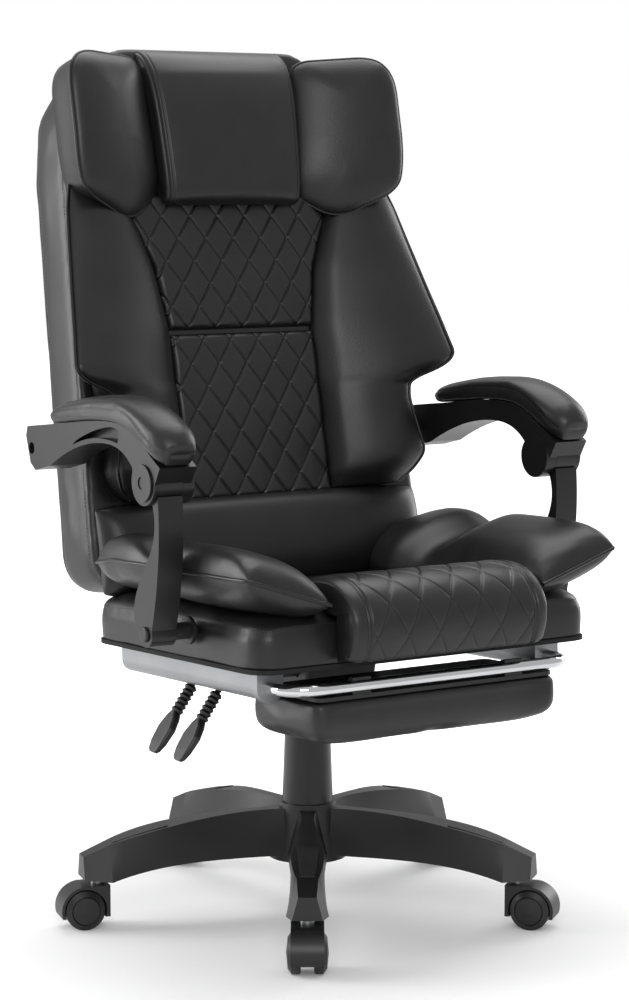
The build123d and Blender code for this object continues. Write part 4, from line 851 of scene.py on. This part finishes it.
for side, sign in (("left", 1), ("right", -1)):
    flip = Matrix.Diagonal((sign, 1, 1))
    rings = []
    count = pillow["around"]
    for j in range(pillow["along"] + 1):
        v = -math.cos(math.pi * j / pillow["along"])
        ring = [pillowPoint(math.cos(math.pi * k / count), v, 1) for k in range(count + 1)]
        ring += [pillowPoint(math.cos(math.pi * k / count), v, -1) for k in range(count - 1, 0, -1)]
        rings.append([flip @ p for p in ring])
    name = f"seat_pillow_{side}"
    soft[name] = ringSkin(name + ".leather", rings, False)
    finishSoft(soft[name], "seat_unit", name, 1)
    rim = [pillowPoint(1, 1 - k / 40, 1) for k in range(80)]  # along the outer seam, then across the nose
    rim += [pillowPoint(1 - k / 20, -1, 1) for k in range(41)]
    rim = [flip @ p for p in smoothed(rim, 3, False)]
    piped(name + ".piping", rim, pillow["piping"], "seat_unit", pipingLeather)
print("seat pillows")


# pressed seams and their stitches

stitch = {"pitch": 5, "length": 3.4, "radius": 0.45, "lift": 0.2}
slabSeam = {"frontZ": 449, "rearZ": 441, "apart": 5, "stitchLift": 8, "step": 4, "width": 5, "depth": 1.6}


def slabLoop(lift):
    out = []
    for p in roundedLoop(boxCorners(slab["half"], slab["front"], slab["rear"]), slab["corner"], 10):
        along = (p.y - slab["front"]) / (slab["rear"] - slab["front"])
        z = slabSeam["frontZ"] + (slabSeam["rearZ"] - slabSeam["frontZ"]) * along + lift
        out.append(onSeat(p.x, p.y, z))
    return out


plain = surfaceOf(soft["seat_slab"])
paths = [densePath(slabLoop(lift), slabSeam["step"], True) for lift in (0, slabSeam["apart"])]
for line in [hugging(path, plain, 0) for path in paths]:
    sewn(soft["seat_slab"], line, slabSeam["width"], slabSeam["depth"])
row = densePath(slabLoop(slabSeam["stitchLift"]), slabSeam["step"], True)
stitched("seat_slab.stitches", hugging(row, surfaceOf(soft["seat_slab"]), stitch["lift"]), stitch, "seat_unit")

caseSeam = {"half": [(280, -117), (255, 470), (240, 557), (205, 604), (150, 645)], "corner": 40,
            "levels": (-104, -26), "step": 4, "width": 6, "depth": 1.8}
outline = caseSeam["half"] + [(-x, h) for x, h in reversed(caseSeam["half"])]
flat = roundedLoop(outline, caseSeam["corner"], 12)
case = soft["back_shell"]
for place, n in enumerate(caseSeam["levels"]):
    path = densePath([onBack(p.x, p.y, n) for p in flat], caseSeam["step"], True)
    line = smoothed(hugging(path, surfaceOf(case), 0), 3, True)
    sewn(case, line, caseSeam["width"], caseSeam["depth"])
    row = hugging(line, surfaceOf(case), stitch["lift"])
    stitched(f"back_shell.stitches{place + 1}", row, stitch, "backrest")

padSeam = {"line": [(100, 685), (32, 693), (-40, 699), (-101, 694), (-149, 670), (-180, 652)], "centre": 314,
           "half": 38, "rise": 20, "parts": 8, "step": 3, "width": 4, "depth": 1.4}
rail = splineThrough([Vector(p) for p in padSeam["line"]], padSeam["parts"])
for side, sign in (("left", 1), ("right", -1)):
    pad = soft["arm_pad_" + side]
    run = []
    for offset, edge in ((padSeam["half"], rail), (-padSeam["half"], rail[::-1])):
        run += [Vector((sign * (padSeam["centre"] + offset), p.x, p.y + padSeam["rise"])) * mm for p in edge]
    line = smoothed(hugging(densePath(run, padSeam["step"], True), surfaceOf(pad), 0), 3, True)
    sewn(pad, line, padSeam["width"], padSeam["depth"])
    stitched(f"arm_pad_{side}.stitches", hugging(line, surfaceOf(pad), stitch["lift"]), stitch, "arm_" + side)
print("seams and stitches")


# black dust cover under the seat board, turned up round its edge

cover = {"half": 264, "front": -296, "rear": 136, "corner": 42, "top": 402, "foot": 396.3}
flat = roundedLoop(boxCorners(cover["half"], cover["front"], cover["rear"]), cover["corner"], 8)
bm = bmesh.new()
sheet = bm.faces.new([bm.verts.new(onSeat(p.x, p.y, cover["top"])) for p in flat])
made = bmesh.ops.extrude_face_region(bm, geom=[sheet], use_keep_orig=True)["geom"]
down = onSeat(0, 0, cover["foot"]) - onSeat(0, 0, cover["top"])
bmesh.ops.translate(bm, vec=down, verts=[v for v in made if isinstance(v, bmesh.types.BMVert)])
bmesh.ops.recalc_face_normals(bm, faces=bm.faces)
mesh = bpy.data.meshes.new("seat_dust_cover")
bm.to_mesh(mesh)
bm.free()
dustCover = link("seat_dust_cover", mesh, nonWoven)
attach(dustCover, "seat_unit")
print("dust cover")


# bolts under the seat: hexagon heads on washers

bolts = {"head": 6.5, "headHigh": 5, "headSides": 6, "washer": 9, "washerHigh": 1.6, "washerSides": 28,
         "edge": 0.35,
         "flange": [(86, 94), (86, -94), (-86, 94), (-86, -94)], "flangeZ": 394,
         "plate": [(132, 70), (132, 105), (-132, 70), (-132, 105)], "plateZ": 391}
tilt = Matrix.Rotation(-math.radians(seatPlane["tilt"]), 4, "X")
bm = bmesh.new()
for group in ("flange", "plate"):
    for x, y in bolts[group]:
        z = bolts[group + "Z"]
        for piece in ("washer", "head"):
            radius = bolts[piece] * mm
            high = bolts[piece + "High"]
            place = Matrix.Translation(onSeat(x, y, z - high / 2)) @ tilt
            made = bmesh.ops.create_cone(bm, cap_ends=True, segments=bolts[piece + "Sides"], radius1=radius,
                                         radius2=radius, depth=high * mm, matrix=place)["verts"]
            rims = {e for v in made for e in v.link_edges}
            bmesh.ops.bevel(bm, geom=list(rims), offset=bolts["edge"] * mm, affect="EDGES", segments=2, profile=0.5,
                            material=-1)
            z -= high
mesh = bpy.data.meshes.new("seat_bolts")
bm.to_mesh(mesh)
bm.free()
seatBolts = link("seat_bolts", mesh, zincPlate)
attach(seatBolts, "seat_unit")
print("bolts")


# camera, light and floor

view = {"lens": 99.69, "sensor": 36, "shift": 0.00673, "place": (-2.0603, -3.1525, 1.0092), "down": 6.63,
        "turn": -33.17}
camData = bpy.data.cameras.new("photoCamera")
camData.lens = view["lens"]
camData.sensor_width = view["sensor"]
camData.shift_x = view["shift"]
camera = bpy.data.objects.new("photoCamera", camData)
camera.location = view["place"]
camera.rotation_euler = (math.radians(90 - view["down"]), 0, math.radians(view["turn"]))
scene.collection.objects.link(camera)
scene.camera = camera


def softBox(name, place, aim, size, power):
    data = bpy.data.lights.new(name, "AREA")
    data.shape = "RECTANGLE"
    data.size, data.size_y = size
    data.energy = power
    lamp = bpy.data.objects.new(name, data)
    lamp.location = place
    lamp.rotation_euler = (Vector(aim) - Vector(place)).to_track_quat("-Z", "Y").to_euler()
    scene.collection.objects.link(lamp)


softBox("overheadBox", (0.5, 0.7, 3.0), (0, 0, 0.6), (2.4, 2.4), 44)
softBox("leftBox", (-2.4, 1.9, 1.4), (0, 0, 0.6), (1.6, 2.2), 60)
softBox("rightBox", (2.9, 0.6, 1.3), (0, 0, 0.7), (1.2, 2.0), 26)
softBox("frontBox", (-2.2, -3.4, 2.4), (0, 0, 0.6), (1.6, 1.6), 44)

studio = {"light": 0.56, "seen": 1.0}  # strength for the chair, and where the camera looks past it
world = bpy.data.worlds.new("studio")
scene.world = world
world.use_nodes = True
skyTree = world.node_tree
sky = skyTree.nodes["Background"]
path = addNode(skyTree, "ShaderNodeLightPath")
straight = [(path.outputs["Is Camera Ray"], 0), (path.outputs["Is Transmission Ray"], 1)]
seen = addNode(skyTree, "ShaderNodeMath", straight, operation="MAXIMUM")
level = addNode(skyTree, "ShaderNodeMapRange", [(seen.outputs[0], "Value")])
level.inputs["To Min"].default_value = studio["light"]
level.inputs["To Max"].default_value = studio["seen"]
skyTree.links.new(level.outputs["Result"], sky.inputs["Strength"])
sky.inputs["Color"].default_value = (1, 1, 1, 1)

# the floor's camera glow rises from near the chair to far off; kept low near the chair, it paints a soft shadow
# round the base
paper = {"half": 12, "tone": "#f4f4f4", "near": 0.3, "shadowGlow": 0.1, "far": 1.7, "farGlow": 0.85}  # metres
bm = bmesh.new()
bmesh.ops.create_grid(bm, x_segments=1, y_segments=1, size=paper["half"])
floorMesh = bpy.data.meshes.new("floor")
bm.to_mesh(floorMesh)
bm.free()
floorMat, floorTree, floorShader = newMaterial("palePaper")  # seamless paper: flat, no gloss
floorShader.inputs["Base Color"].default_value = hexLinear(paper["tone"])
floorShader.inputs["Roughness"].default_value = 0.9
floorShader.inputs["Specular IOR Level"].default_value = 0.0
# the paper glows for the camera, little near the chair and strongly away from it: a white backdrop far off, and a
# painted soft shadow round the base
floorPath = addNode(floorTree, "ShaderNodeLightPath")
spot = addNode(floorTree, "ShaderNodeTexCoord").outputs["Object"]
far = addNode(floorTree, "ShaderNodeVectorMath", [(spot, 0)], operation="LENGTH")
fade = addNode(floorTree, "ShaderNodeMapRange", [(far.outputs["Value"], "Value")], interpolation_type="SMOOTHSTEP")
fade.inputs["From Min"].default_value = paper["near"]
fade.inputs["From Max"].default_value = paper["far"]
fade.inputs["To Min"].default_value = paper["shadowGlow"]
fade.inputs["To Max"].default_value = paper["farGlow"]
glowing = [(floorPath.outputs["Is Camera Ray"], 0), (fade.outputs["Result"], 1)]
glow = addNode(floorTree, "ShaderNodeMath", glowing, operation="MULTIPLY")
floorShader.inputs["Emission Color"].default_value = (1, 1, 1, 1)
floorTree.links.new(glow.outputs[0], floorShader.inputs["Emission Strength"])
floor = link("floor", floorMesh, floorMat)
scene.view_settings.view_transform = "Standard"
print("camera and light")
